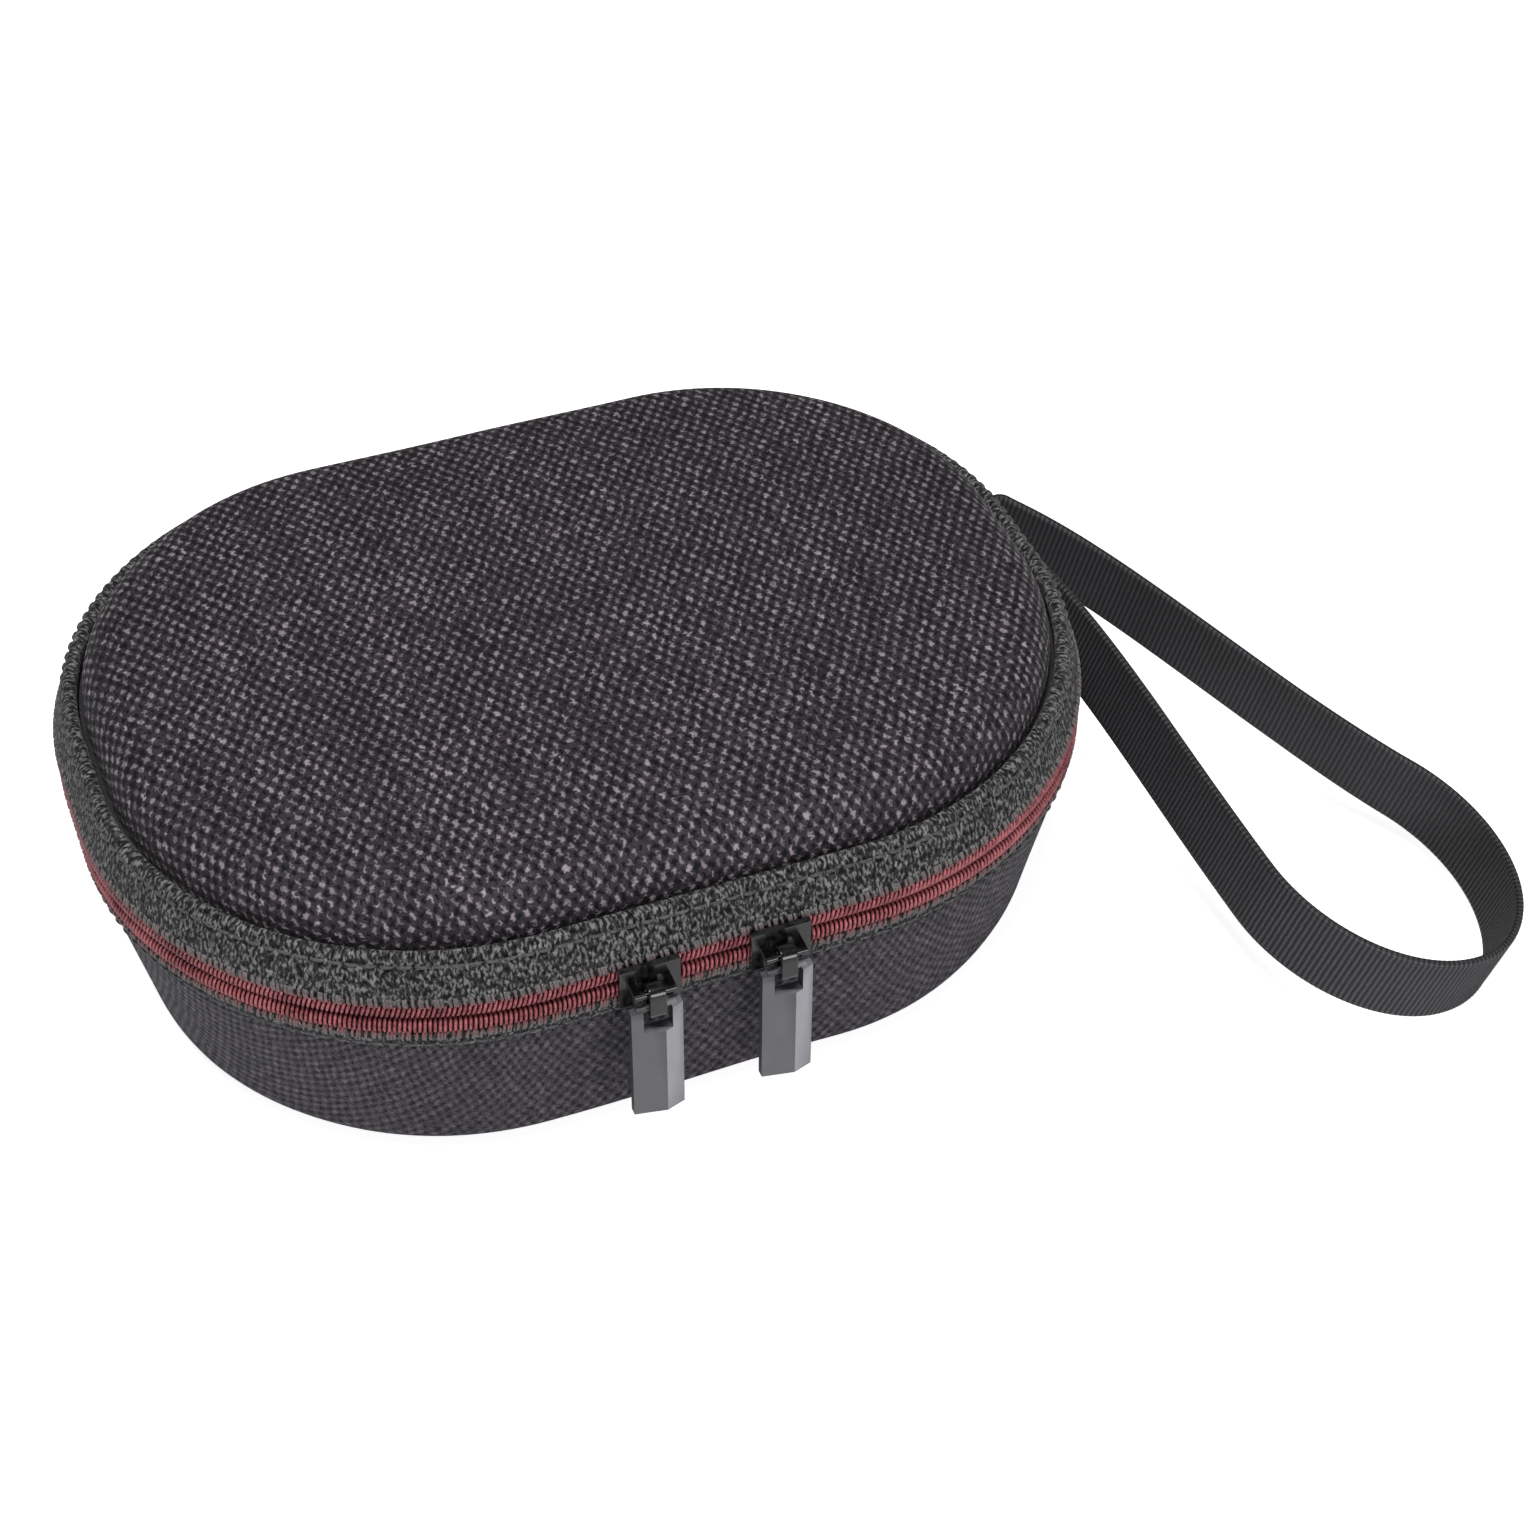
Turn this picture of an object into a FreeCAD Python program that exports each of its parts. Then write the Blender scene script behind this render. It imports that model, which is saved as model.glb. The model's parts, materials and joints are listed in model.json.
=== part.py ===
import FreeCAD, Part
import math
import os
import Sketcher

# Moulded, zip-round carrying case for folding headphones.
# Row frame: origin in the middle of the base's bottom face, +X towards the wrist strap,
# -Y towards the sliders, +Y towards the fabric hinge, +Z up. Lengths are millimetres.
#
# Every ring and bowl of the case follows one rounded outline, the rim. A surface is placed by its
# inset from the rim and its depth: the case's outer skin has depth 0 and depth grows inwards.

V = FreeCAD.Vector

SIZES = [
    ("rim_length", 190, "length of the rim at the zip, its widest level"),
    ("rim_depth", 144, "front to back size of the rim"),
    ("front_radius", 67, "radius of the rim's two front corners"),
    ("back_radius", 62, "radius of the rim's two back corners"),
    ("zip_height", 44, "height of the zip's middle above the table"),
    ("wall_slope", 0.198, "how far the base's wall leans in per millimetre of drop"),
    ("base_fillet", 8.8, "outer radius between the base's wall and bottom"),
    ("lid_rise", 22.6, "top of the lid above the zip's middle"),
    ("lid_inset", 5.6, "inset of the lid's wall, taken down to the zip"),
    ("lid_slope", 0.07, "how far the lid's wall leans in per millimetre of rise"),
    ("lid_fillet", 8.8, "outer radius of the lid's shoulder"),
    ("crown_rise", 2.4, "height of the crown on the lid's top"),
    ("crown_run", 16, "how far each of the crown's two steps leans in"),
    ("crown_share", 0.65, "share of the crown's height in its outer step"),
    ("cover_gauge", 0.8, "thickness of the woven cover"),
    ("shell_gauge", 3.0, "thickness of the foam shell"),
    ("lining_gauge", 0.8, "thickness of the lining"),
    ("tape_proud", 0.2, "how far the zip tape stands proud of the cover's surface"),
    ("rim_gap", 3.5, "height of each shell's edge from the zip's middle"),
    ("tape_drop", 7.8, "lower edge of the lower tape below the zip's middle"),
    ("tape_rise", 12.4, "upper edge of the upper tape above the zip's middle"),
    ("flare_inset", 1.4, "inset of the lid shell's edge under the tape"),
    ("flare_slope", 0.305, "how far the lid's flare leans in per millimetre of rise"),
    ("coil_depth", 2.4, "front to back size of a coil row"),
    ("slit_gap", 1.2, "clear gap between the two coil rows"),
    ("binding_leg", 7.5, "height of the base's inner binding below the shell's edge"),
    ("lid_leg", 4.5, "height of the lid's inner binding above the shell's edge"),
    ("binding_lip", 0.8, "thickness of a binding over the shell's edge"),
    ("lip_inset", 4.0, "inset of the bindings' front edge"),
    ("thread_gauge", 0.35, "thickness of the seam threads"),
    ("thread_width", 0.6, "height of the seam threads"),
    ("seam_margin", 1.2, "seam thread to the tape's edge"),
    ("hinge_width", 68, "width of the fabric hinge"),
    ("hinge_gauge", 0.9, "thickness of the fabric hinge"),
    ("hinge_gap", 0.3, "clearance between the fabric hinge and the lid's edge"),
    ("hinge_cut", 10, "how far in from the back the coils are cut away for the hinge"),
    ("stop_width", 1.6, "length of a zip end stop"),
    ("stop_gap", 0.1, "clearance round a zip end stop"),
    ("pocket_height", 10.2, "mesh pocket above the zip's middle"),
    ("pocket_inset", 11.2, "inset of the pocket's edge"),
    ("pocket_front", -16, "front edge of the mesh"),
    ("elastic_width", 6, "width of the pocket's elastic"),
    ("elastic_gauge", 1.28, "thickness of the pocket's elastic"),
    ("slider_place", 12, "middle of each slider from the middle of the front"),
    ("slider_length", 11, "length of a slider"),
    ("plate_height", 8.4, "height of the slider's outer plate"),
    ("plate_gauge", 1.2, "thickness of the slider's outer plate"),
    ("plate_gap", 0.3, "clearance between a slider's plates and the coils"),
    ("inner_gauge", 1.0, "thickness of the slider's inner plate"),
    ("inner_room", 0.2, "clearance between the inner plate and each shell's edge"),
    ("wedge_height", 1.0, "height of the slider's wedge, in the slit"),
    ("wedge_length", 4.0, "length of the slider's wedge"),
    ("wedge_start", 0.2, "how far behind the slider's face the wedge starts"),
    ("wedge_overlap", 0.5, "how far the wedge runs into the inner plate"),
    ("bar_radius", 0.65, "radius of the bars that the link goes round"),
    ("bridge_reach", 2.35, "bridge bar's axis from the slider's face"),
    ("bridge_length", 7.6, "length of the slider's bridge"),
    ("leg_width", 1.2, "width of each of the bridge's legs"),
    ("leg_overlap", 0.3, "how far a bridge leg runs into the outer plate"),
    ("link_length", 3.2, "link's height between the two bar axes"),
    ("link_bore", 0.75, "inner radius of the link's ends"),
    ("link_radius", 1.95, "outer radius of the link's ends"),
    ("link_width", 3.0, "width of the link"),
    ("tab_width", 9.4, "width of a pull tab"),
    ("tab_length", 26.5, "length of a pull tab"),
    ("tab_edge", 1.5, "thickness of a pull tab at its edges"),
    ("tab_ridge", 2.6, "thickness of a pull tab at its ridge"),
    ("ridge_place", 1.2, "ridge to the middle of the tab"),
    ("window_width", 5.2, "width of the tab's window"),
    ("window_height", 4.3, "height of the tab's window"),
    ("window_cut", 20, "how far forward the cut for the tab's window goes"),
    ("bar_overlap", 1.0, "how far each end of the tab's bar runs into the tab"),
    ("strap_width", 16, "width of the wrist strap's webbing"),
    ("strap_gauge", 1.8, "thickness of the webbing"),
    ("strap_reach", 93, "sewn end to the middle of the loop's round end"),
    ("strap_bend", 28, "radius of the loop's round end"),
    ("strap_heading", -67.7, "direction of the loop, from +X"),
    ("strap_lean_x", 0.25, "lean of the loop's plane towards +X"),
    ("strap_lean_y", -0.15, "lean of the loop's plane towards +Y"),
    ("strap_root_x", 97.2, "where the loop leaves the case"),
    ("strap_root_y", 14, "where the loop leaves the case"),
    ("strap_root_z", 37.5, "middle of the webbing at its sewn end"),
    ("anchor_front", 18, "front end of the sewn webbing"),
    ("anchor_back", 31, "back end of the sewn webbing"),
    ("anchor_low", 28.5, "lower edge of the sewn webbing"),
    ("anchor_high", 40.2, "upper edge of the sewn webbing"),
    ("anchor_gap", 0.05, "clearance under the sewn webbing"),
    ("stitch_margin", 2, "stitches to the edges of the sewn webbing"),
]

TINY = 0.001

doc = FreeCAD.newDocument("headphone_case")
size = {name: value for name, value, note in SIZES}
nodes = []


# ---------------------------------------------------------------- sheet, sketches and features

def make_sheet():
    """Write the driving dimensions into the spreadsheet, one aliased cell each."""
    sheet = doc.addObject("Spreadsheet::Sheet", "Sizes")
    for row, (alias, value, note) in enumerate(SIZES, start=1):
        sheet.set(f"A{row}", alias)
        sheet.set(f"B{row}", str(value))
        sheet.setAlias(f"B{row}", alias)
        sheet.set(f"C{row}", note)
    doc.addObject("App::FeaturePython", "Helper").addProperty("App::PropertyFloat", "Answer")
    doc.recompute()


def bind(thing, prop, formula):
    """Bind a property to a formula in which each bare word is a size in the sheet."""
    words = formula.replace("(", " ( ").replace(")", " ) ").split(" ")
    thing.setExpression(prop, "".join("Sizes." + w if w in size else w for w in words))


def work_out(formula):
    """The value of a formula now, for the first guess of a sketch."""
    helper = doc.getObject("Helper")
    bind(helper, "Answer", formula)
    helper.recompute()
    return helper.Answer


def keep(thing, label):
    """Mark a finished object as a sub-part and give it its name."""
    thing.Label = label
    nodes.append(thing)


def new_body(name):
    return doc.addObject("PartDesign::Body", name)


def new_sketch(body, plane, offset="0"):
    """A sketch on one of the body's origin planes, moved along the plane's normal by offset."""
    sketch = body.newObject("Sketcher::SketchObject", body.Name + "_sketch")
    face = [feature for feature in body.Origin.OriginFeatures if feature.Role == plane][0]
    sketch.AttachmentSupport = (face, [""])
    sketch.MapMode = "FlatFace"
    bind(sketch, "AttachmentOffset.Base.z", offset)
    return sketch


def dimension(sketch, name, constraint, formula):
    index = sketch.addConstraint(constraint)
    sketch.renameConstraint(index, name)
    bind(sketch, "Constraints." + name, formula)


def draw_rim(sketch, inset, name="rim"):
    """The case's rounded outline, drawn in by inset: four straight runs and four corner arcs."""
    half_x, half_y = size["rim_length"] / 2, size["rim_depth"] / 2
    front, back = size["front_radius"], size["back_radius"]
    fx, fy, bx, by = half_x - front, front - half_y, half_x - back, half_y - back

    def corner(x, y, radius, start):
        circle = Part.Circle(V(x, y, 0), V(0, 0, 1), radius)
        return Part.ArcOfCircle(circle, math.radians(start), math.radians(start + 90))

    first = sketch.GeometryCount
    sketch.addGeometry([
        Part.LineSegment(V(-fx, -half_y, 0), V(fx, -half_y, 0)), corner(fx, fy, front, -90),
        Part.LineSegment(V(half_x, fy, 0), V(half_x, by, 0)), corner(bx, by, back, 0),
        Part.LineSegment(V(bx, half_y, 0), V(-bx, half_y, 0)), corner(-bx, by, back, 90),
        Part.LineSegment(V(-half_x, by, 0), V(-half_x, fy, 0)), corner(-fx, fy, front, 180),
    ], False)
    run = [first + i for i in range(8)]
    sketch.addConstraint(
        [Sketcher.Constraint("Tangent", run[i], 2, run[(i + 1) % 8], 1) for i in range(8)]
        + [Sketcher.Constraint("Horizontal", run[i]) for i in (0, 4)]
        + [Sketcher.Constraint("Vertical", run[i]) for i in (2, 6)])
    half_length, half_depth = f"rim_length / 2 - ( {inset} )", f"rim_depth / 2 - ( {inset} )"
    sides = [("right", "DistanceX", (-1, 1, run[2], 1), half_length, half_x),
             ("left", "DistanceX", (run[6], 1, -1, 1), half_length, half_x),
             ("front", "DistanceY", (run[0], 1, -1, 1), half_depth, half_y),
             ("back", "DistanceY", (-1, 1, run[4], 1), half_depth, half_y)]
    for side, kind, points, formula, guess in sides:
        dimension(sketch, f"{name}_{side}", Sketcher.Constraint(kind, *points, guess), formula)
    for place, corner_name, radius in ((1, "front", front), (3, "back", back),
                                       (5, "back", back), (7, "front", front)):
        dimension(sketch, f"{name}_{corner_name}_{place}",
                  Sketcher.Constraint("Radius", run[place], radius), f"{corner_name}_radius - ( {inset} )")


def draw_polygon(sketch, corners, name="corner"):
    """A closed polygon whose corners are (x formula, y formula) pairs."""
    points = [V(work_out(x), work_out(y), 0) for x, y in corners]
    count, first = len(points), sketch.GeometryCount
    sketch.addGeometry([Part.LineSegment(points[i], points[(i + 1) % count]) for i in range(count)], False)
    sketch.addConstraint([Sketcher.Constraint("Coincident", first + i, 2, first + (i + 1) % count, 1)
                          for i in range(count)])
    for i, (x, y) in enumerate(corners):
        for axis, formula, guess in (("X", x, points[i].x), ("Y", y, points[i].y)):
            constraint = Sketcher.Constraint("Distance" + axis, -1, 1, first + i, 1, guess)
            dimension(sketch, f"{name}_{i}_{axis}", constraint, formula)


def draw_box(sketch, low_x, high_x, low_y, high_y, name="box"):
    draw_polygon(sketch, [(low_x, low_y), (high_x, low_y), (high_x, high_y), (low_x, high_y)], name)


def add_feature(body, kind, sketch, length, taper=None, reverse=False, both_sides=False):
    """A Pad or Pocket of the sketch. A positive taper leans the sides in."""
    before = body.Shape.Volume if kind == "Pocket" else 0
    feature = body.newObject("PartDesign::" + kind, f"{body.Name}_{kind}")
    feature.Profile = sketch
    bind(feature, "Length", length)
    if taper:
        bind(feature, "TaperAngle", f"-atan( {taper} )")
    feature.Reversed = reverse
    feature.Midplane = both_sides
    doc.recompute()
    if kind == "Pocket" and body.Shape.Volume > before - TINY:
        raise RuntimeError(f"{feature.Name} cuts nothing")
    return feature


def round_edges(body, base, radius, wanted):
    """Fillet the edges of the base feature that wanted(edge) picks."""
    names = [f"Edge{i}" for i, edge in enumerate(base.Shape.Edges, start=1) if wanted(edge)]
    fillet = body.newObject("PartDesign::Fillet", body.Name + "_fillet")
    fillet.Base = (base, names)
    bind(fillet, "Radius", radius)
    doc.recompute()


def cut(label, outer, inner):
    """Outer without inner, as a finished sub-part."""
    thing = doc.addObject("Part::Cut", label)
    thing.Base, thing.Tool = outer, inner
    keep(thing, label)


# ---------------------------------------------------------------- surfaces of the case

def base_inset(height, depth):
    """Inset of the base's wall at a height, for a layer of that depth."""
    return f"( zip_height - ( {height} ) ) * wall_slope + ( {depth} )"


def flare_inset(rise, depth):
    """Inset of the lid's flared edge at a rise above the zip, for a layer of that depth."""
    return f"flare_inset + ( ( {rise} ) - rim_gap ) * flare_slope + ( {depth} ) - cover_gauge"


def lid_inset(rise, depth):
    """Inset of the lid's wall at a rise above the zip, for a layer of that depth."""
    return f"lid_inset + ( {rise} ) * lid_slope + ( {depth} )"


def base_band(name, low, high, depth):
    """A solid slice of the base's inside at that depth, between two heights."""
    body = new_body(name)
    sketch = new_sketch(body, "XY_Plane", high)
    draw_rim(sketch, base_inset(high, depth))
    add_feature(body, "Pad", sketch, f"( {high} ) - ( {low} )", "wall_slope", reverse=True)
    return body


def base_bowl(name, depth, top):
    """A base_band down to the bottom, with the bottom edge rounded."""
    body = base_band(name, depth, top, depth)
    floor = work_out(depth)
    round_edges(body, body.Tip, f"base_fillet - ( {depth} )",
                lambda edge: edge.BoundBox.ZMax < floor + TINY)
    return body


def flare_band(name, low, high, depth):
    """A solid slice of the lid's flared edge at that depth, between two rises."""
    body = new_body(name)
    sketch = new_sketch(body, "XY_Plane", f"zip_height + ( {low} )")
    draw_rim(sketch, flare_inset(low, depth))
    add_feature(body, "Pad", sketch, f"( {high} ) - ( {low} )", "flare_slope")
    return body


def lid_dome(name, depth, low):
    """The lid's wall, rounded shoulder and crowned top at that depth, from the rise called low."""
    body = new_body(name)
    sketch = new_sketch(body, "XY_Plane", f"zip_height + ( {low} )")
    draw_rim(sketch, lid_inset(low, depth))
    shoulder = f"lid_rise - crown_rise - ( {depth} )"
    pad = add_feature(body, "Pad", sketch, f"{shoulder} - ( {low} )", "lid_slope")
    level = work_out(f"zip_height + {shoulder}")
    round_edges(body, pad, f"lid_fillet - ( {depth} )", lambda edge: edge.BoundBox.ZMin > level - TINY)
    add_crown(body, shoulder, depth)
    return body


def add_crown(body, shoulder, depth):
    """The slightly domed top: two low steps with leaning sides, the outer one steeper."""
    inset, rise = lid_inset(shoulder, depth) + f" + lid_fillet - ( {depth} )", shoulder
    for share in ("crown_share", "( 1 - crown_share )"):
        sketch = new_sketch(body, "XY_Plane", f"zip_height + {rise}")
        draw_rim(sketch, inset)
        step = f"{share} * crown_rise"
        add_feature(body, "Pad", sketch, step, f"crown_run / ( {step} )")
        inset, rise = f"{inset} + crown_run", f"{rise} + {step}"


def lid_core(name, depth):
    """Everything of the lid inside that depth: the dome and the flared edge below it."""
    body = lid_dome(name, depth, "rim_gap")
    sketch = new_sketch(body, "XY_Plane", "zip_height + rim_gap")
    draw_rim(sketch, flare_inset("rim_gap", depth))
    flare_top = f"tape_rise - rim_gap - ( {depth} ) + cover_gauge"
    add_feature(body, "Pad", sketch, flare_top, "flare_slope")
    return body


# ---------------------------------------------------------------- base and lid layers

SHELL_DEPTH = "cover_gauge"
LINING_DEPTH = "cover_gauge + shell_gauge"
INSIDE_DEPTH = "cover_gauge + shell_gauge + lining_gauge"
BINDING_DEPTH = INSIDE_DEPTH + " + binding_lip"
TAPE_DEPTH = "0 - tape_proud"
THREAD_DEPTH = "0 - tape_proud - thread_gauge"


def make_base():
    """Cover, foam shell and lining of the base, one inside the other."""
    edge = "zip_height - rim_gap"
    cover = base_bowl("base_outside", "0", "zip_height - tape_drop")
    shell = base_bowl("base_shell_outside", SHELL_DEPTH, edge)
    lining = base_bowl("base_lining_outside", LINING_DEPTH, edge)
    inside = base_bowl("base_inside", INSIDE_DEPTH, edge)
    cut("base_cover", cover, shell)
    cut("base_shell", shell, lining)
    cut("base_lining", lining, inside)
    return shell


def make_lid():
    """Cover, foam shell and lining of the lid."""
    cover = lid_dome("lid_outside", "0", "rim_gap")
    shell = lid_core("lid_shell_outside", SHELL_DEPTH)
    lining = lid_core("lid_lining_outside", LINING_DEPTH)
    inside = lid_core("lid_inside", INSIDE_DEPTH)
    cut("lid_cover", cover, shell)
    cut("lid_shell", shell, lining)
    cut("lid_lining", lining, inside)
    return shell


# ---------------------------------------------------------------- zip, seams and bindings

def make_tapes(base_outside, lid_outside):
    """The zip's two tapes, sewn over the edges of the base and the lid."""
    lower = base_band("lower_tape_outside", "zip_height - tape_drop", "zip_height - rim_gap", TAPE_DEPTH)
    upper = flare_band("upper_tape_outside", "rim_gap", "tape_rise", TAPE_DEPTH)
    cut("lower_zip_tape", lower, base_outside)
    cut("upper_zip_tape", upper, lid_outside)


def make_seam_threads():
    """The line of thread along the outer edge of each tape."""
    low = "zip_height - tape_drop + seam_margin"
    high = low + " + thread_width"
    cut("base_seam_thread", base_band("base_thread_outside", low, high, THREAD_DEPTH),
        base_band("base_thread_inside", low, high, TAPE_DEPTH))
    high = "tape_rise - seam_margin"
    low = high + " - thread_width"
    cut("lid_seam_thread", flare_band("lid_thread_outside", low, high, THREAD_DEPTH),
        flare_band("lid_thread_inside", low, high, TAPE_DEPTH))


def make_coil(label, low):
    """One red coil row: a band round the rim, open across the fabric hinge."""
    body = new_body(label)
    sketch = new_sketch(body, "XY_Plane", low)
    draw_rim(sketch, "0", "outer")
    draw_rim(sketch, "coil_depth", "inner")
    add_feature(body, "Pad", sketch, "rim_gap - slit_gap / 2")
    gap = new_sketch(body, "XY_Plane", low)
    half = "( hinge_width / 2 + stop_width )"
    draw_box(gap, f"0 - {half}", half, "rim_depth / 2 - hinge_cut", "rim_depth / 2 + coil_depth")
    add_feature(body, "Pocket", gap, "rim_gap", reverse=True)
    keep(body, label)


def make_end_stops(label, low):
    """The two stops that end a coil row beside the hinge."""
    for side, sign in (("left", "0 - "), ("right", "")):
        body = new_body(f"{label}_{side}")
        sketch = new_sketch(body, "XY_Plane", low)
        near = f"{sign}( hinge_width / 2 + stop_gap )"
        far = f"{sign}( hinge_width / 2 + stop_width - stop_gap )"
        ends = (far, near) if sign else (near, far)
        draw_box(sketch, *ends, "rim_depth / 2 - coil_depth", "rim_depth / 2 - stop_gap")
        add_feature(body, "Pad", sketch, "rim_gap - slit_gap / 2")
    group = doc.addObject("Part::Compound", label)
    group.Links = [doc.getObject(f"{label}_{side}") for side in ("left", "right")]
    keep(group, label)


def make_hinge_spine():
    """The fabric strip across the back, where the zip stops and the lid turns."""
    body = new_body("hinge_spine")
    sketch = new_sketch(body, "XY_Plane", "zip_height - rim_gap")
    draw_box(sketch, "0 - hinge_width / 2", "hinge_width / 2",
             "rim_depth / 2 - hinge_gauge", "rim_depth / 2")
    add_feature(body, "Pad", sketch, "2 * rim_gap - hinge_gap")
    keep(body, "hinge_spine")


def add_lip(body, height):
    """The part of a binding that lies over the shell's edge."""
    sketch = new_sketch(body, "XY_Plane", height)
    draw_rim(sketch, "lip_inset")
    add_feature(body, "Pad", sketch, "binding_lip")


def make_bindings():
    """The folded tapes that cover the raw inner edges of the base and the lid."""
    edge = "zip_height - rim_gap"
    low = edge + " - binding_leg"
    base = base_band("base_binding_outside", low, edge, INSIDE_DEPTH)
    add_lip(base, edge)
    top = edge + " + binding_lip"
    cut("base_binding", base, base_band("base_binding_inside", low, top, BINDING_DEPTH))
    leg_top = "rim_gap + lid_leg"
    lid = flare_band("lid_binding_outside", "rim_gap", leg_top, INSIDE_DEPTH)
    add_lip(lid, "zip_height + rim_gap - binding_lip")
    low = "rim_gap - binding_lip"
    cut("lid_binding", lid, flare_band("lid_binding_inside", low, leg_top, BINDING_DEPTH))


# ---------------------------------------------------------------- lid pocket

def pocket_layer(label, gauge, low_y, high_y):
    """A flat layer across the lid's inside, between two places from front to back."""
    sheet = new_body(label + "_sheet")
    sketch = new_sketch(sheet, "XY_Plane", "zip_height + pocket_height")
    draw_rim(sketch, "pocket_inset")
    add_feature(sheet, "Pad", sketch, gauge)
    window = new_body(label + "_window")
    sketch = new_sketch(window, "XY_Plane", "zip_height")
    draw_box(sketch, "0 - rim_length", "rim_length", low_y, high_y)
    add_feature(window, "Pad", sketch, "lid_rise")
    layer = doc.addObject("Part::Common", label)
    layer.Base, layer.Tool = sheet, window
    keep(layer, label)


def make_pocket():
    """The mesh pocket in the lid and the elastic along its open edge."""
    pocket_layer("mesh_pocket", "lining_gauge", "pocket_front", "rim_depth")
    pocket_layer("pocket_elastic", "elastic_gauge", "pocket_front - elastic_width", "pocket_front")


# ---------------------------------------------------------------- sliders, links and tabs

FACE = "0 - rim_depth / 2 - plate_gap - plate_gauge"
BRIDGE_AXIS = FACE + " - bridge_reach"
TAB_BAR = "zip_height - link_length"


def make_slider(label, place):
    """Two plates joined by a wedge in the slit, and a bridge for the link on the outer plate."""
    body = new_body(label)
    behind = "0 - rim_depth / 2 + coil_depth + plate_gap"
    plates = new_sketch(body, "YZ_Plane", place)
    half = "plate_height / 2"
    draw_box(plates, FACE, "0 - rim_depth / 2 - plate_gap",
             f"zip_height - {half}", f"zip_height + {half}", "outer")
    inner_half = "( rim_gap - inner_room )"
    draw_box(plates, behind, behind + " + inner_gauge",
             f"zip_height - {inner_half}", f"zip_height + {inner_half}", "inner")
    add_feature(body, "Pad", plates, "slider_length", both_sides=True)
    wedge = new_sketch(body, "YZ_Plane", place)
    draw_box(wedge, FACE + " + wedge_start", behind + " + wedge_overlap",
             "zip_height - wedge_height / 2", "zip_height + wedge_height / 2", "wedge")
    add_feature(body, "Pad", wedge, "wedge_length", both_sides=True)
    add_bridge(body, place)
    keep(body, label)


def add_bridge(body, place):
    """A round bar parallel to the zip, on two legs."""
    bar = new_sketch(body, "YZ_Plane", place)
    draw_circle(bar, BRIDGE_AXIS, "zip_height", "bar_radius")
    add_feature(body, "Pad", bar, "bridge_length", both_sides=True)
    legs = new_sketch(body, "XZ_Plane", "0 - ( " + BRIDGE_AXIS + " )")
    for side, sign in (("left", "-"), ("right", "+")):
        outer = f"{place} {sign} bridge_length / 2"
        inner = f"{place} {sign} ( bridge_length / 2 - leg_width )"
        ends = (outer, inner) if sign == "-" else (inner, outer)
        draw_box(legs, *ends, "zip_height - bar_radius", "zip_height + bar_radius", side)
    add_feature(body, "Pad", legs, "bridge_reach + leg_overlap", reverse=True)


def draw_circle(sketch, x, y, radius, name="round"):
    index = sketch.addGeometry(
        Part.Circle(V(work_out(x), work_out(y), 0), V(0, 0, 1), work_out(radius)), False)
    dimension(sketch, name + "_x", Sketcher.Constraint("DistanceX", -1, 1, index, 3, work_out(x)), x)
    dimension(sketch, name + "_y", Sketcher.Constraint("DistanceY", -1, 1, index, 3, work_out(y)), y)
    dimension(sketch, name + "_radius", Sketcher.Constraint("Radius", index, work_out(radius)), radius)


def draw_stadium(sketch, x, low_y, high_y, radius, name):
    """Two half circles above one another, joined by straight sides."""
    cx, cy, top, r = work_out(x), work_out(low_y), work_out(high_y), work_out(radius)
    first = sketch.GeometryCount
    sketch.addGeometry([
        Part.ArcOfCircle(Part.Circle(V(cx, top, 0), V(0, 0, 1), r), 0, math.pi),
        Part.LineSegment(V(cx - r, top, 0), V(cx - r, cy, 0)),
        Part.ArcOfCircle(Part.Circle(V(cx, cy, 0), V(0, 0, 1), r), math.pi, 2 * math.pi),
        Part.LineSegment(V(cx + r, cy, 0), V(cx + r, top, 0)),
    ], False)
    sketch.addConstraint([Sketcher.Constraint("Tangent", first + i, 2, first + (i + 1) % 4, 1)
                          for i in range(4)] + [Sketcher.Constraint("Vertical", first + 1)])
    for place, y, guess in (("top", high_y, top), ("low", low_y, cy)):
        arc = first if place == "top" else first + 2
        dimension(sketch, f"{name}_{place}_y",
                  Sketcher.Constraint("DistanceY", -1, 1, arc, 3, guess), y)
    dimension(sketch, name + "_x", Sketcher.Constraint("DistanceX", -1, 1, first, 3, cx), x)
    dimension(sketch, name + "_radius", Sketcher.Constraint("Radius", first, r), radius)


def make_link(label, place):
    """A closed metal band round the slider's bridge and the tab's bar."""
    body = new_body(label)
    sketch = new_sketch(body, "YZ_Plane", place)
    draw_stadium(sketch, BRIDGE_AXIS, TAB_BAR, "zip_height", "link_radius", "outer")
    draw_stadium(sketch, BRIDGE_AXIS, TAB_BAR, "zip_height", "link_bore", "inner")
    add_feature(body, "Pad", sketch, "link_width", both_sides=True)
    keep(body, label)


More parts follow.
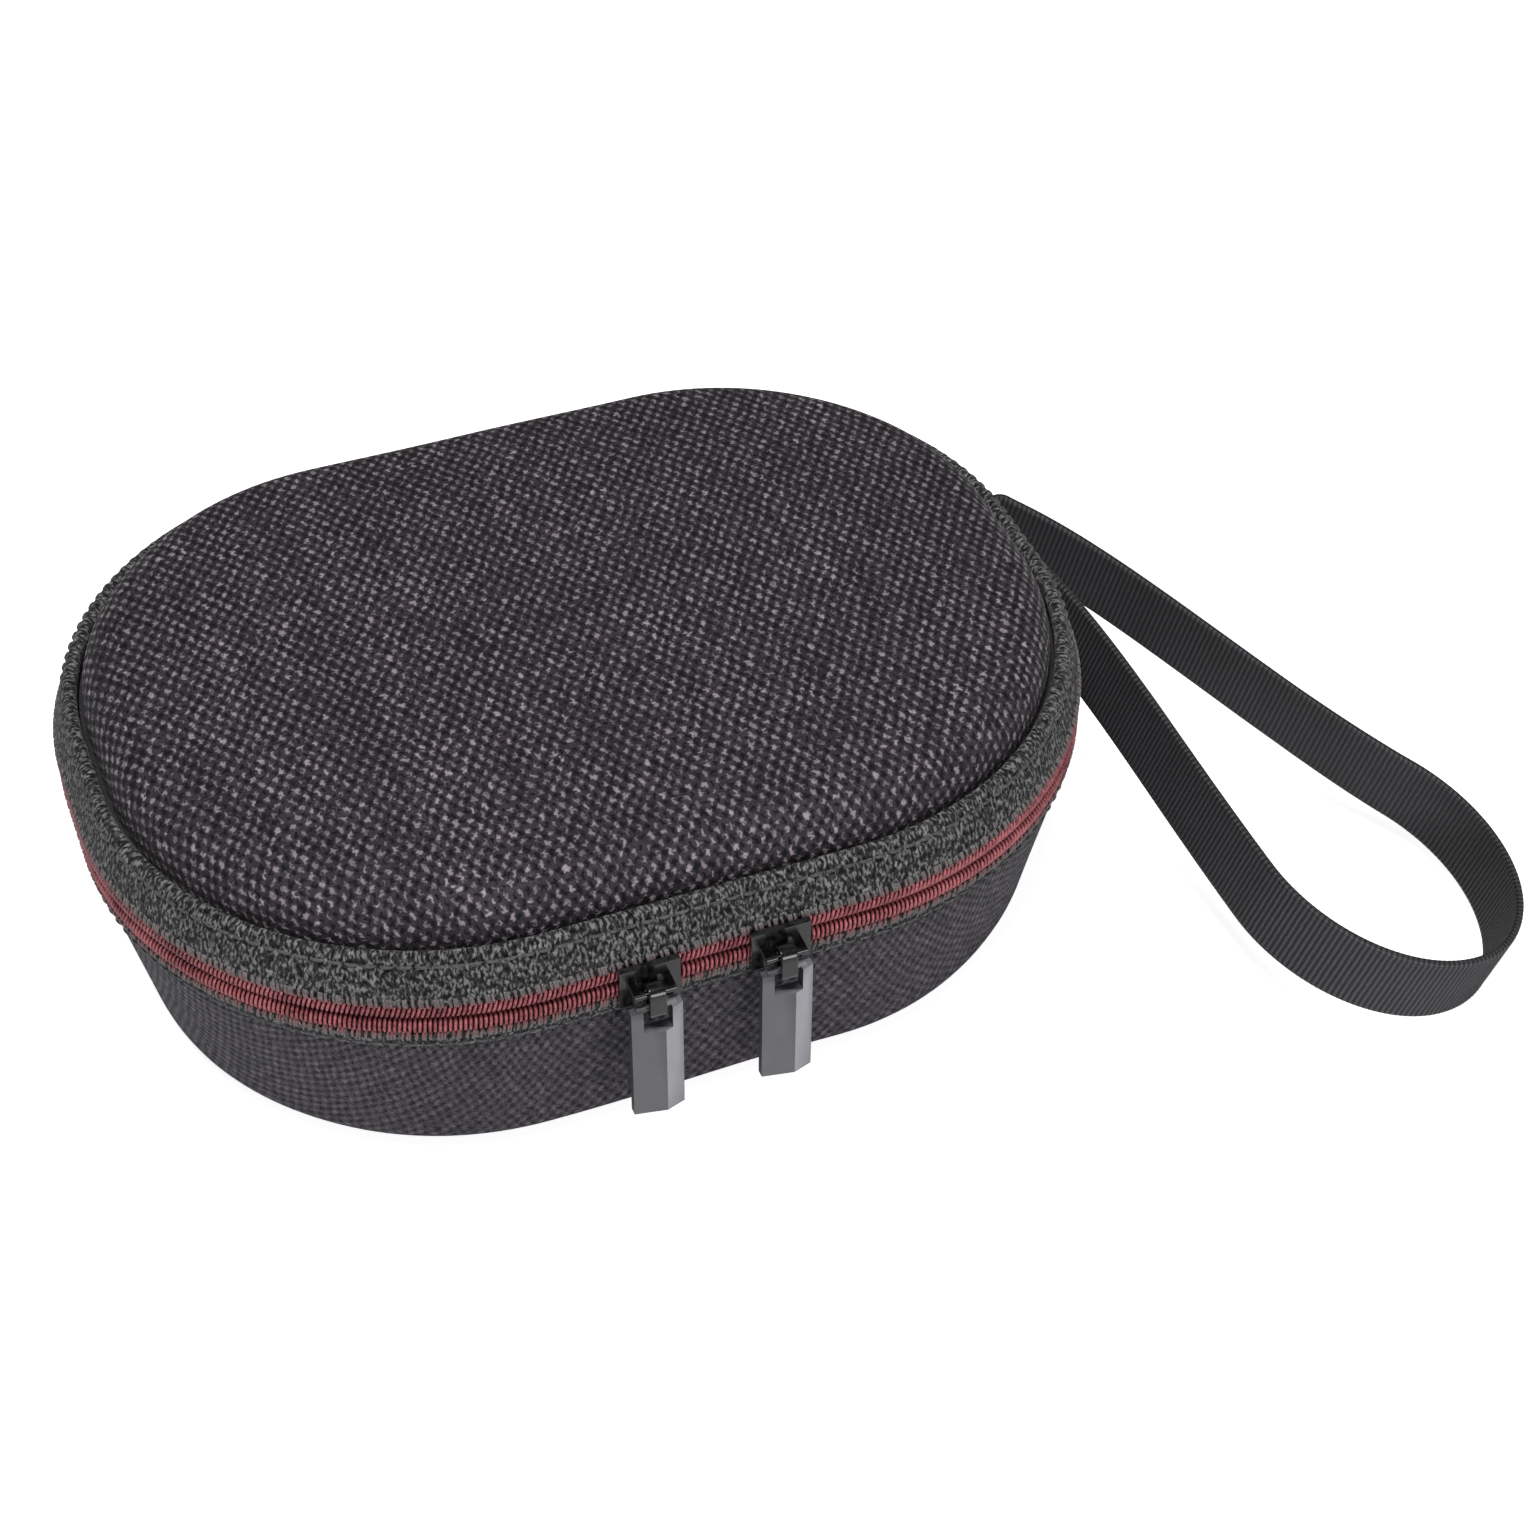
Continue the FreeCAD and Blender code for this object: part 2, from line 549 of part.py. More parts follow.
def make_tab(label, place):
    """A long tab with a ridged front, a window near its top and a round bar above the window."""
    body = new_body(label)
    back = BRIDGE_AXIS + " + tab_edge / 2"
    section = new_sketch(body, "XY_Plane", TAB_BAR + " - tab_length + bar_radius")
    left, right = f"{place} - tab_width / 2", f"{place} + tab_width / 2"
    draw_polygon(section, [(left, back), (left, back + " - tab_edge"),
                           (f"{place} + ridge_place", back + " - tab_ridge"),
                           (right, back + " - tab_edge"), (right, back)])
    add_feature(body, "Pad", section, "tab_length - bar_radius")
    window = new_sketch(body, "XZ_Plane", "rim_depth / 2")
    window_low = TAB_BAR + " - bar_radius - window_height"
    draw_box(window, f"{place} - window_width / 2", f"{place} + window_width / 2",
             window_low, "zip_height", "window")
    add_feature(body, "Pocket", window, "window_cut", reverse=True)
    bar = new_sketch(body, "YZ_Plane", place)
    draw_circle(bar, BRIDGE_AXIS, TAB_BAR, "bar_radius")
    add_feature(body, "Pad", bar, "window_width + 2 * bar_overlap", both_sides=True)
    keep(body, label)


def make_pulls():
    for side, place in (("left", "0 - slider_place"), ("right", "slider_place")):
        make_slider(f"{side}_slider", place)
        make_link(f"{side}_pull_link", place)
        make_tab(f"{side}_pull_tab", place)


# ---------------------------------------------------------------- wrist strap

def strap_placement():
    """The loop's own axes: x along the loop, z across the webbing."""
    lean = FreeCAD.Rotation(V(0, 0, 1), V(size["strap_lean_x"], size["strap_lean_y"], 1))
    heading = FreeCAD.Rotation(V(0, 0, 1), size["strap_heading"])
    root = V(size["strap_root_x"], size["strap_root_y"], size["strap_root_z"])
    return FreeCAD.Placement(root, lean.multiply(heading))


def draw_teardrop(sketch, bend, start):
    """An arc of that radius about the loop's end and its two tangents, which meet near the root."""
    reach, radius, tip = size["strap_reach"], work_out(bend), work_out(start)
    half = math.asin(radius / (reach - tip))
    touch = V(reach - radius * math.sin(half), radius * math.cos(half), 0)
    other = V(touch.x, -touch.y, 0)
    circle = Part.Circle(V(reach, 0, 0), V(0, 0, 1), radius)
    first = sketch.GeometryCount
    sketch.addGeometry([Part.LineSegment(V(tip, 0, 0), other),
                        Part.ArcOfCircle(circle, -math.pi / 2 - half, math.pi / 2 + half),
                        Part.LineSegment(touch, V(tip, 0, 0))], False)
    name = f"drop{first}"
    sketch.addConstraint([Sketcher.Constraint("Tangent", first, 2, first + 1, 1),
                          Sketcher.Constraint("Tangent", first + 1, 2, first + 2, 1),
                          Sketcher.Constraint("Coincident", first + 2, 2, first, 1),
                          Sketcher.Constraint("PointOnObject", first, 1, -1),
                          Sketcher.Constraint("PointOnObject", first + 1, 3, -1)])
    dimension(sketch, name + "_reach",
              Sketcher.Constraint("DistanceX", -1, 1, first + 1, 3, reach), "strap_reach")
    dimension(sketch, name + "_bend", Sketcher.Constraint("Radius", first + 1, radius), bend)
    dimension(sketch, name + "_tip", Sketcher.Constraint("DistanceX", -1, 1, first, 1, tip), start)


def make_strap():
    """The loop of webbing: a band between two teardrops."""
    body = new_body("wrist_strap")
    sketch = new_sketch(body, "XY_Plane")
    draw_teardrop(sketch, "strap_bend + strap_gauge / 2", "0")
    inner = "strap_bend - strap_gauge / 2"
    shift = "strap_gauge * strap_reach / ( strap_bend + strap_gauge / 2 )"
    draw_teardrop(sketch, inner, shift)
    add_feature(body, "Pad", sketch, "strap_width", both_sides=True)
    body.Placement = strap_placement()
    keep(body, "wrist_strap")


def make_anchor():
    """The sewn end of the webbing on the side wall, and its box of stitches."""
    def patch(label, outer_depth, inner_depth, low, high, front, back):
        outer = base_band(label + "_outside", low, high, outer_depth)
        inner = base_band(label + "_inside", low, high, inner_depth)
        ring = doc.addObject("Part::Cut", label + "_ring")
        ring.Base, ring.Tool = outer, inner
        window = new_body(label + "_window")
        sketch = new_sketch(window, "XY_Plane", low)
        draw_box(sketch, "rim_length / 4", "rim_length", front, back)
        add_feature(window, "Pad", sketch, f"( {high} ) - ( {low} )")
        piece = doc.addObject("Part::Common", label)
        piece.Base, piece.Tool = ring, window
        return piece

    seat = "0 - tape_proud - thread_gauge - anchor_gap"
    face = seat + " - strap_gauge"
    keep(patch("strap_anchor", face, seat, "anchor_low", "anchor_high", "anchor_front", "anchor_back"),
         "strap_anchor")
    rows = []
    for row, low in (("low", "anchor_low + stitch_margin"),
                     ("high", "anchor_high - stitch_margin - thread_width")):
        rows.append(patch("stitch_" + row, face + " - thread_gauge", face, low, low + " + thread_width",
                          "anchor_front + stitch_margin", "anchor_back - stitch_margin"))
    group = doc.addObject("Part::Compound", "strap_stitching")
    group.Links = rows
    keep(group, "strap_stitching")


# ---------------------------------------------------------------- check and write

def check_document():
    """Stop if any object failed or any sub-part has no valid shape."""
    doc.recompute()
    for thing in doc.Objects:
        if "Invalid" in thing.State or "Error" in thing.State:
            raise RuntimeError(f"{thing.Name} failed: {thing.State}")
    for node in nodes:
        if node.Shape.isNull() or not node.Shape.isValid() or not node.Shape.Solids:
            raise RuntimeError(f"{node.Label} has no valid solid")


def write_parts():
    os.makedirs("parts", exist_ok=True)
    for node in nodes:
        node.Shape.exportStep(f"parts/{node.Label}.step")


make_sheet()
base_outside = make_base()
lid_outside = make_lid()
make_tapes(base_outside, lid_outside)
make_seam_threads()
make_coil("lower_zip_coil", "zip_height - rim_gap")
make_coil("upper_zip_coil", "zip_height + slit_gap / 2")
make_end_stops("lower_end_stops", "zip_height - rim_gap")
make_end_stops("upper_end_stops", "zip_height + slit_gap / 2")
make_hinge_spine()
make_bindings()
make_pocket()
make_pulls()
make_strap()
make_anchor()
check_document()
write_parts()
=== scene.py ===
import json
from math import asin, atan, cos, degrees, hypot, pi, radians, sin
import bpy
import numpy as np
from mathutils import Matrix, Vector, noise


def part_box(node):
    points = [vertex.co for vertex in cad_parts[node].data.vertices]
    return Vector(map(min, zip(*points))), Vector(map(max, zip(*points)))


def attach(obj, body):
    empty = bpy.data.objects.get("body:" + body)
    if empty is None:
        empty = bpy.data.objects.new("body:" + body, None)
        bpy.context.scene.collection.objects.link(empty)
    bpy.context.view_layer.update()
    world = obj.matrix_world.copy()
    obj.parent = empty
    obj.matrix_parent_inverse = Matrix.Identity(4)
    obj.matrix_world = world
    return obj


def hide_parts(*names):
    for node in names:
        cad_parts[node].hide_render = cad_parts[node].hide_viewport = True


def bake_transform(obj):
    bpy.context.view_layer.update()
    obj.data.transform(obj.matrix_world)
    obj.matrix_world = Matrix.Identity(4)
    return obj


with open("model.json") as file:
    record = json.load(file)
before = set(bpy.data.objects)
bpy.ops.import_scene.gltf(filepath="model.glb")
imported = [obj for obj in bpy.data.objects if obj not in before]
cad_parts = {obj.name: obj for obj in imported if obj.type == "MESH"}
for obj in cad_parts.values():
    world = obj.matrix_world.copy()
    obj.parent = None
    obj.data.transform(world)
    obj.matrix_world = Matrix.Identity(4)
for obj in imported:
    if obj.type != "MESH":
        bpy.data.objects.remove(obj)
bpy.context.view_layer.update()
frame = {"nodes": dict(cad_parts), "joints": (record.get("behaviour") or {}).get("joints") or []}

# Zip-round headphone case. Lengths in this script are millimetres, turned into metres by MM when a
# mesh is made; lights are placed in metres. The case's rings follow one rounded outline, the rim: a
# point of a surface is given by its run round the rim, its inset from the rim and its height.

MM = 0.001


def node_box(name):
    """The low and high corners of a frame node's box."""
    low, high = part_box(name)
    return np.array(low) / MM, np.array(high) / MM


def joint_place(name):
    joint = next(j for j in frame["joints"] if j["name"] == name)
    return np.array(joint["pos_m"]) / MM


# ---- places read from the frame

COIL_LOW, COIL_HIGH = node_box("lower_zip_coil")
HALF_X, HALF_Y = COIL_HIGH[0], -COIL_LOW[1]
ZIP_Z = joint_place("lid_hinge")[2]
TAPE_LOW = node_box("lower_zip_tape")[0][2]
TAPE_TOP = node_box("upper_zip_tape")[1][2]
EDGE_LOW = node_box("base_shell")[1][2]
EDGE_HIGH = node_box("lid_shell")[0][2]
LID_TOP = node_box("lid_cover")[1][2]
COIL_END = node_box("lower_end_stops")[1][0]
STRAP_ROOT = joint_place("strap_swing")

# ---- driving sizes of the case

FRONT_RADIUS = 67.0
BACK_RADIUS = 62.0
BASE_SLOPE = 0.198
BASE_FILLET = 8.8
LID_INSET = 5.6
LID_SLOPE = 0.07
LID_FILLET = 8.8
CROWN_RISE = 2.5
CROWN_RUN = 33.0
FLARE_INSET = 0.6
FLARE_SLOPE = 0.305
TAPE_PROUD = 0.2
COVER_GAUGE = 0.7
SHELL_GAUGE = 3.0
LINING_GAUGE = 0.8


# ---- the rim

def facing(angle):
    return np.array([cos(angle), sin(angle)])


def rim_walk():
    """The rim's parts from the middle of its back, leftwards: start, normal's angle, radius, length."""
    quarter = pi / 2
    back, front = HALF_X - BACK_RADIUS, 2 * (HALF_X - FRONT_RADIUS)
    side = 2 * HALF_Y - BACK_RADIUS - FRONT_RADIUS
    spans = [(0, back), (BACK_RADIUS, 0), (0, side), (FRONT_RADIUS, 0), (0, front),
             (FRONT_RADIUS, 0), (0, side), (BACK_RADIUS, 0), (0, back)]
    place, angle, walk = np.array([0.0, HALF_Y]), quarter, []
    for radius, length in spans:
        if radius:
            walk.append((place, angle, radius, quarter * radius))
            place = place + radius * (facing(angle + quarter) - facing(angle))
            angle += quarter
        else:
            walk.append((place, angle, 0, length))
            place = place + length * facing(angle + quarter)
    return walk


RIM = rim_walk()
RIM_LENGTH = sum(part[3] for part in RIM)


def rim_at(run):
    """Points of the rim and its outward normals at those distances round it."""
    run = np.mod(np.asarray(run, float), RIM_LENGTH)
    point, normal = np.zeros(run.shape + (2,)), np.zeros(run.shape + (2,))
    begin = 0.0
    for place, angle, radius, length in RIM:
        here = (run >= begin) & (run <= begin + length)
        past = run[here] - begin
        turned = angle + (past / radius if radius else 0 * past)
        normal[here] = np.stack([np.cos(turned), np.sin(turned)], -1)
        if radius:
            point[here] = place + radius * (normal[here] - facing(angle))
        else:
            point[here] = place + past[:, None] * facing(angle + pi / 2)
        begin += length
    return point, normal


def ring_points(run, inset, height):
    """Points in space at those runs, insets and heights, which broadcast together."""
    run, inset, height = np.broadcast_arrays(run, inset, height)
    point, normal = rim_at(run)
    flat = point - normal * inset[..., None]
    return np.concatenate([flat, np.asarray(height, float)[..., None]], -1)


# ---- lines and grids

BEAD_TIP = 0.03
BEAD_DIP = 0.8


def unit(vectors):
    """The same directions, one long."""
    return vectors / np.linalg.norm(vectors, axis=-1, keepdims=True)


def bezier(start, leave, arrive, end, share):
    """Points of a cubic curve from start to end, drawn towards the two points between."""
    rest = 1 - share
    return (rest ** 3 * start + 3 * rest ** 2 * share * leave
            + 3 * rest * share ** 2 * arrive + share ** 3 * end)


def grid_faces(rows, columns, wrap_rows=False, wrap_columns=False):
    """Quads of a grid of points, and each quad's unwrapped (row, column) corners."""
    i, j = np.meshgrid(np.arange(rows if wrap_rows else rows - 1),
                       np.arange(columns if wrap_columns else columns - 1), indexing="ij")
    corners = np.stack([np.stack([i + a, j + b], -1) for a, b in ((0, 0), (1, 0), (1, 1), (0, 1))], -2)
    corners = corners.reshape(-1, 4, 2)
    faces = (corners[..., 0] % rows) * columns + corners[..., 1] % columns
    return faces.tolist(), corners


def grid_uvs(first, second, corners):
    """The cloth's place at each corner, from two grids of millimetres."""
    return np.stack([first, second], -1)[corners[..., 0], corners[..., 1]].reshape(-1, 2)


def end_caps(columns, rows):
    """The first and last faces of a swept section that has that many columns of that many points."""
    return [list(range(rows)), [(columns - 1) * rows + k for k in range(rows)][::-1]]


def strand(spine, radius, first, second, sides):
    """Points and faces of a round strand with closed ends, from its spine and two directions across."""
    turn = np.linspace(0, 2 * pi, sides, endpoint=False)[:, None]
    rings = spine[:, None] + radius * (np.cos(turn) * first[:, None] + np.sin(turn) * second[:, None])
    faces, corners = grid_faces(len(spine), sides, wrap_columns=True)
    return rings.reshape(-1, 3), faces + end_caps(len(spine), sides)


def tube(points, radius, sides, across):
    """A round strand along points, with a direction at each that isn't along the strand."""
    along = unit(np.gradient(points, axis=0))
    first = unit(np.cross(along, across))
    return strand(points, radius, first, np.cross(first, along), sides)


def bead(middle, along, out, length, radius, steps=6, sides=6):
    """A stitch: a rounded bead lying along a seam, pulled in at its ends."""
    places = np.linspace(-1, 1, steps + 1)
    size = radius * np.sqrt(np.clip(1 - np.abs(places) ** 3, BEAD_TIP, 1))
    dip = -radius * BEAD_DIP * places ** 2
    spine = middle + along * (places * length / 2)[:, None] + out * dip[:, None]
    return strand(spine, size[:, None, None], out[None], np.cross(out, along)[None], sides)


def gather(parts):
    """Join (points, faces) pairs into one pair."""
    all_faces, count = [], 0
    for points, faces in parts:
        all_faces += [[k + count for k in face] for face in faces]
        count += len(points)
    return np.concatenate([points for points, faces in parts]), all_faces


# ---- meshes

SKIN_SPACING = 2.6
SKIN_FAN = (0.75, 0.5, 0.25)
RIPPLE_SCALE = 0.03
BAND_COLUMNS = 260


def add_object(name, data):
    thing = bpy.data.objects.new(name, data)
    bpy.context.scene.collection.objects.link(thing)
    return thing


def make_piece(name, points, faces, uvs=None, smooth=True):
    """A mesh object from points in millimetres. uvs holds one pair for each corner of each face."""
    mesh = bpy.data.meshes.new(name)
    mesh.from_pydata((np.asarray(points).reshape(-1, 3) * MM).tolist(), [], faces)
    if uvs is not None:
        layer = mesh.uv_layers.new(name="cloth")
        layer.data.foreach_set("uv", np.asarray(uvs, np.float32).ravel())
    mesh.polygons.foreach_set("use_smooth", [smooth] * len(mesh.polygons))
    mesh.update()
    return add_object(name, mesh)


def finish_piece(piece, body, finish, replaced=None):
    """Give a piece its material, hide the frame node it replaces and attach it to the body it rides on.
    """
    piece.data.materials.clear()
    piece.data.materials.append(FINISHES[finish])
    if replaced:
        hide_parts(replaced)
    if body:
        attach(piece, body)
    return piece


def flip(piece):
    """Turn a skin's faces the other way round."""
    piece.data.flip_normals()
    return piece


def thicken(piece, gauge):
    """Give an open skin its gauge, inwards."""
    solid = piece.modifiers.new("gauge", "SOLIDIFY")
    solid.thickness, solid.offset = gauge * MM, -1
    return piece


def soft_ripple(points, amount):
    """Moves points a little towards or away from the case's middle, as cloth over foam lies."""
    push = np.array([noise.noise(Vector(p * RIPPLE_SCALE)) for p in points])
    return points + unit(points - [0, 0, ZIP_Z]) * push[:, None] * amount


def moulded_skin(name, profile, ripple=0.0):
    """A bowl or dome: a profile of (inset, height, sheet inset) swept round the rim, then filled in.

    The sheet inset says where the point lay in the flat cloth, so the weave runs over the shoulder.
    """
    runs = np.arange(0, RIM_LENGTH, RIM_LENGTH / round(RIM_LENGTH / SKIN_SPACING))
    points = ring_points(runs[:, None], profile[None, :, 0], profile[None, :, 1])
    sheet = ring_points(runs[:, None], profile[None, :, 2], 0.0)[..., :2]
    last, last_sheet = points[:, -1], sheet[:, -1]
    centre = np.append(last[:, :2].mean(0), last[0, 2])
    for share in SKIN_FAN:
        points = np.concatenate([points, (centre + (last - centre) * share)[:, None]], 1)
        sheet = np.concatenate([sheet, (centre[:2] + (last_sheet - centre[:2]) * share)[:, None]], 1)
    columns, rows = points.shape[:2]
    faces, corners = grid_faces(columns, rows, wrap_rows=True)
    uvs = sheet[corners[..., 0] % columns, corners[..., 1]].reshape(-1, 2)
    middle = columns * rows
    inner = [k * rows + rows - 1 for k in range(columns)]
    fan = [[a, b, middle] for a, b in zip(inner, inner[1:] + inner[:1])]
    fan_uvs = [[a, b, centre[:2]] for a, b in zip(sheet[:, -1], np.roll(sheet[:, -1], -1, 0))]
    points = np.concatenate([points.reshape(-1, 3), centre[None]])
    if ripple:
        points = soft_ripple(points, ripple)
    return make_piece(name, points, faces + fan, np.concatenate([uvs, np.reshape(fan_uvs, (-1, 2))]))


def band(name, section, runs=None):
    """A closed section of (inset, height) swept round the rim, or along part of it with closed ends."""
    whole = runs is None
    step = RIM_LENGTH / BAND_COLUMNS if whole else runs[1] - runs[0]
    if whole:
        runs = np.arange(0, RIM_LENGTH, step)
    section = np.array(section, float)
    points = ring_points(runs[:, None], section[None, :, 0], section[None, :, 1])
    columns, rows = points.shape[:2]
    faces, corners = grid_faces(columns, rows, wrap_rows=whole, wrap_columns=True)
    edges = np.linalg.norm(np.roll(section, -1, 0) - section, axis=1)
    around = np.concatenate([[0], np.cumsum(edges)])
    uvs = np.stack([runs[0] + corners[..., 0] * step, around[corners[..., 1]]], -1).reshape(-1, 2)
    if not whole:
        faces += end_caps(columns, rows)
        uvs = np.concatenate([uvs, section, section[::-1]])
    return make_piece(name, points, faces, uvs)


def closed_sheet(name, outer, inner, cloth_x, cloth_y):
    """A sheet from two grids of points, its outer and inner faces, and the edge between them."""
    columns, rows = outer.shape[:2]
    count = columns * rows
    faces, corners = grid_faces(columns, rows)
    uvs = grid_uvs(cloth_x, cloth_y, corners)
    back = [[k + count for k in face[::-1]] for face in faces]
    back_uvs = uvs.reshape(-1, 4, 2)[:, ::-1].reshape(-1, 2)
    rim = [(0, r) for r in range(rows - 1)] + [(c, rows - 1) for c in range(columns - 1)]
    rim += [(columns - 1 - c, rows - 1 - r) for c, r in rim]
    edge = [column * rows + row for column, row in rim]
    sides = [[a, b, b + count, a + count] for a, b in zip(edge, edge[1:] + edge[:1])]
    side_uvs = np.repeat([(cloth_x[spot], cloth_y[spot]) for spot in rim], 4, 0)
    points = np.concatenate([outer.reshape(-1, 3), inner.reshape(-1, 3)])
    return make_piece(name, points, faces + back + sides, np.concatenate([uvs, back_uvs, side_uvs]))


# ---- material nodes

def tone(*levels):
    """Linear colour from the 0-255 values a screen shows."""
    shares = [level / 255 for level in levels]
    return [v / 12.92 if v <= 0.04045 else ((v + 0.055) / 1.055) ** 2.4 for v in shares] + [1.0]


class Shading:
    """The nodes of a material or world. Each method returns a socket for the next one."""

    def __init__(self, owner, shader):
        owner.use_nodes = True
        self.tree = owner.node_tree
        self.shader = self.tree.nodes[shader]

    def join(self, node, key, value):
        """Link a socket or set a value. A tuple of three numbers is a colour as a screen shows it."""
        if isinstance(value, bpy.types.NodeSocket):
            self.tree.links.new(value, node.inputs[key])
        else:
            node.inputs[key].default_value = tone(*value) if isinstance(value, tuple) else value

    def put(self, key, value):
        self.join(self.shader, key, value)

    def paint(self, colour):
        self.put("Base Color", colour)

    def node(self, kind, inputs, output=0, **settings):
        node = self.tree.nodes.new("ShaderNode" + kind)
        for key, value in settings.items():
            setattr(node, key, value)
        for key, value in inputs.items():
            self.join(node, key, value)
        return node.outputs[output]

    def math(self, operation, first, second=0.0):
        return self.node("Math", {0: first, 1: second}, operation=operation)

    def plus(self, first, second):
        return self.math("ADD", first, second)

    def minus(self, first, second):
        return self.math("SUBTRACT", first, second)

    def times(self, first, second):
        return self.math("MULTIPLY", first, second)

    def cloth(self):
        """Place on the cloth in millimetres, from the mesh's own layer."""
        return self.node("UVMap", {}, uv_map="cloth")

    def place(self):
        """Place on the object in millimetres."""
        return self.shade(self.node("TexCoord", {}, output="Object"), 1 / MM)

    def split(self, vector):
        return self.node("SeparateXYZ", {0: vector}, output=slice(0, 3))

    def merge(self, first, second, third=0.0):
        return self.node("CombineXYZ", {0: first, 1: second, 2: third})

    def random(self, vector):
        return self.node("TexWhiteNoise", {"Vector": vector})

    def noise(self, vector, scale, detail=2.0):
        return self.node("TexNoise", {"Vector": vector, "Scale": scale, "Detail": detail})

    def wander(self, vector, scale, reach, detail=2.0):
        """Noise about nought, up to half of reach to either side."""
        return self.times(self.minus(self.noise(vector, scale, detail), 0.5), reach)

    def span(self, value, low, high, new_low=0.0, new_high=1.0):
        return self.node("MapRange", {0: value, 1: low, 2: high, 3: new_low, 4: new_high})

    def stretch(self, noise, low, high, contrast=0.2):
        """Noise stretched to run from low to high."""
        return self.span(noise, 0.5 - contrast, 0.5 + contrast, low, high)

    def mottle(self, vector, scale, low, high, detail=2.0, contrast=0.2):
        return self.stretch(self.noise(vector, scale, detail), low, high, contrast)

    def ramp(self, value, stops):
        """A colour from (position, colour) stops."""
        node = self.tree.nodes.new("ShaderNodeValToRGB")
        self.join(node, 0, value)
        elements = node.color_ramp.elements
        while len(elements) < len(stops):
            elements.new(1.0)
        for element, (position, colour) in zip(elements, stops):
            element.position, element.color = position, tone(*colour)
        return node.outputs[0]

    def mix(self, share, first, second):
        """Two colours mixed. A mix node's colours are its inputs 6 and 7 and its output 2."""
        return self.node("Mix", {0: share, 6: first, 7: second}, output=2, data_type="RGBA")

    def shade(self, colour, factor):
        """The colour or vector times a number."""
        return self.node("VectorMath", {0: colour, 3: factor}, operation="SCALE")

    def bump(self, height, depth, strength=1.0):
        """Relief from a height of 0 to 1 that stands for depth millimetres."""
        lit = self.node("Bump", {"Height": height, "Distance": depth * MM, "Strength": strength})
        self.put("Normal", lit)

    def worn_edges(self, low, high):
        """1 on edges that stick out and 0 on faces."""
        return self.span(self.node("NewGeometry", {}, output="Pointiness"), low, high)

    def seen(self):
        """1 for what the camera sees itself and 0 for what other things see."""
        return self.node("LightPath", {}, output="Is Camera Ray")


class Finish(Shading):
    """A material."""

    def __init__(self, name, roughness=0.6, sheen=0.0, specular=0.5):
        self.material = bpy.data.materials.new(name)
        super().__init__(self.material, "Principled BSDF")
        self.put("Roughness", roughness)
        self.put("Sheen Weight", sheen)
        self.put("Specular IOR Level", specular)


def ballistic_weave(name, dark, middle, light, warp=1.22, weft=1.9):
    """Coarse plain weave: a net of bright yarn floats round a checkerboard of small black gaps; the
    floats' brightness is partly painted glint of the shiny nylon.
    """
    look = Finish(name, sheen=0.03, specular=0.32)
    cloth = look.cloth()
    x, y = look.split(cloth)[:2]
    drift = look.plus(look.wander(cloth, 0.16, 1.5), look.wander(cloth, 0.7, 0.75))
    curl_x = look.wander(cloth, 1.25, 1.6, 1.0)
    curl_y = look.wander(look.merge(y, x, 5.0), 1.25, 2.2, 1.0)
    u = look.math("DIVIDE", look.plus(x, look.plus(drift, curl_x)), warp)
    v = look.math("DIVIDE", look.minus(y, look.plus(drift, curl_y)), weft)
    weave = look.times(*(look.math("COSINE", look.times(turn, pi)) for turn in (u, v)))
    level = look.span(weave, -1.0, 1.0)
    # The light stop is the yarn floats' own tone with a painted glint of shiny nylon in it.
    colour = look.ramp(level, [(0.1, dark), (0.36, middle), (0.62, middle), (0.92, light)])
    column, row = look.math("ROUND", u), look.math("ROUND", v)
    dots = look.stretch(look.random(look.merge(column, row)), 0.55, 1.4, 0.5)
    yarns = look.stretch(look.random(look.merge(column, 0.0, 7.0)), 0.85, 1.15, 0.5)
    patches = look.mottle(cloth, 0.035, 0.88, 1.12)
    fibres = look.mottle(look.merge(look.times(x, 9.0), y), 1.0, 0.8, 1.2)
    factor = look.times(look.times(dots, yarns), look.times(patches, fibres))
    look.paint(look.shade(colour, factor))
    rise = look.math("POWER", level, 0.8)
    look.put("Roughness", look.stretch(rise, 0.9, 0.48, 0.5))
    look.bump(look.plus(rise, look.times(look.math("ABSOLUTE", weave), 0.3)), 0.34, 0.9)
    return look.material


def felted_tape(name, dark, middle, light, grain=1.75):
    """Knitted zip tape: small irregular loops, light fibres over dark gaps."""
    look = Finish(name, roughness=0.9, sheen=0.06, specular=0.2)
    cloth = look.cloth()
    x, y = look.split(cloth)[:2]
    warped = look.merge(look.plus(x, look.noise(cloth, 0.9)), look.times(y, 0.45))
    loops = look.noise(warped, grain, 3.0)
    cells = look.node("TexVoronoi", {"Vector": warped, "Scale": 1.1 * grain, "Randomness": 0.9})
    level = look.minus(look.plus(loops, 0.18), look.times(cells, 0.3))
    colour = look.ramp(level, [(0.36, dark), (0.52, middle), (0.66, light)])
    look.paint(look.shade(colour, look.mottle(cloth, 0.3, 0.78, 1.22, 3.0, 0.15)))
    look.bump(level, 0.7, 0.9)
    return look.material


def strand_finish(name, dark, light, roughness=0.4, sheen=0.0):
    """Thread or filament: fine streaks and a slow change of shade from place to place."""
    look = Finish(name, sheen=sheen)
    place = look.place()
    streaks = look.noise(place, 1.4, 4.0)
    level = look.plus(look.times(streaks, 0.7), look.times(look.noise(place, 0.11, 1.0), 0.4))
    look.paint(look.ramp(level, [(0.35, dark), (0.72, light)]))
    look.put("Roughness", look.stretch(streaks, roughness - 0.1, roughness + 0.15))
    look.bump(streaks, 0.06, 0.6)
    return look.material


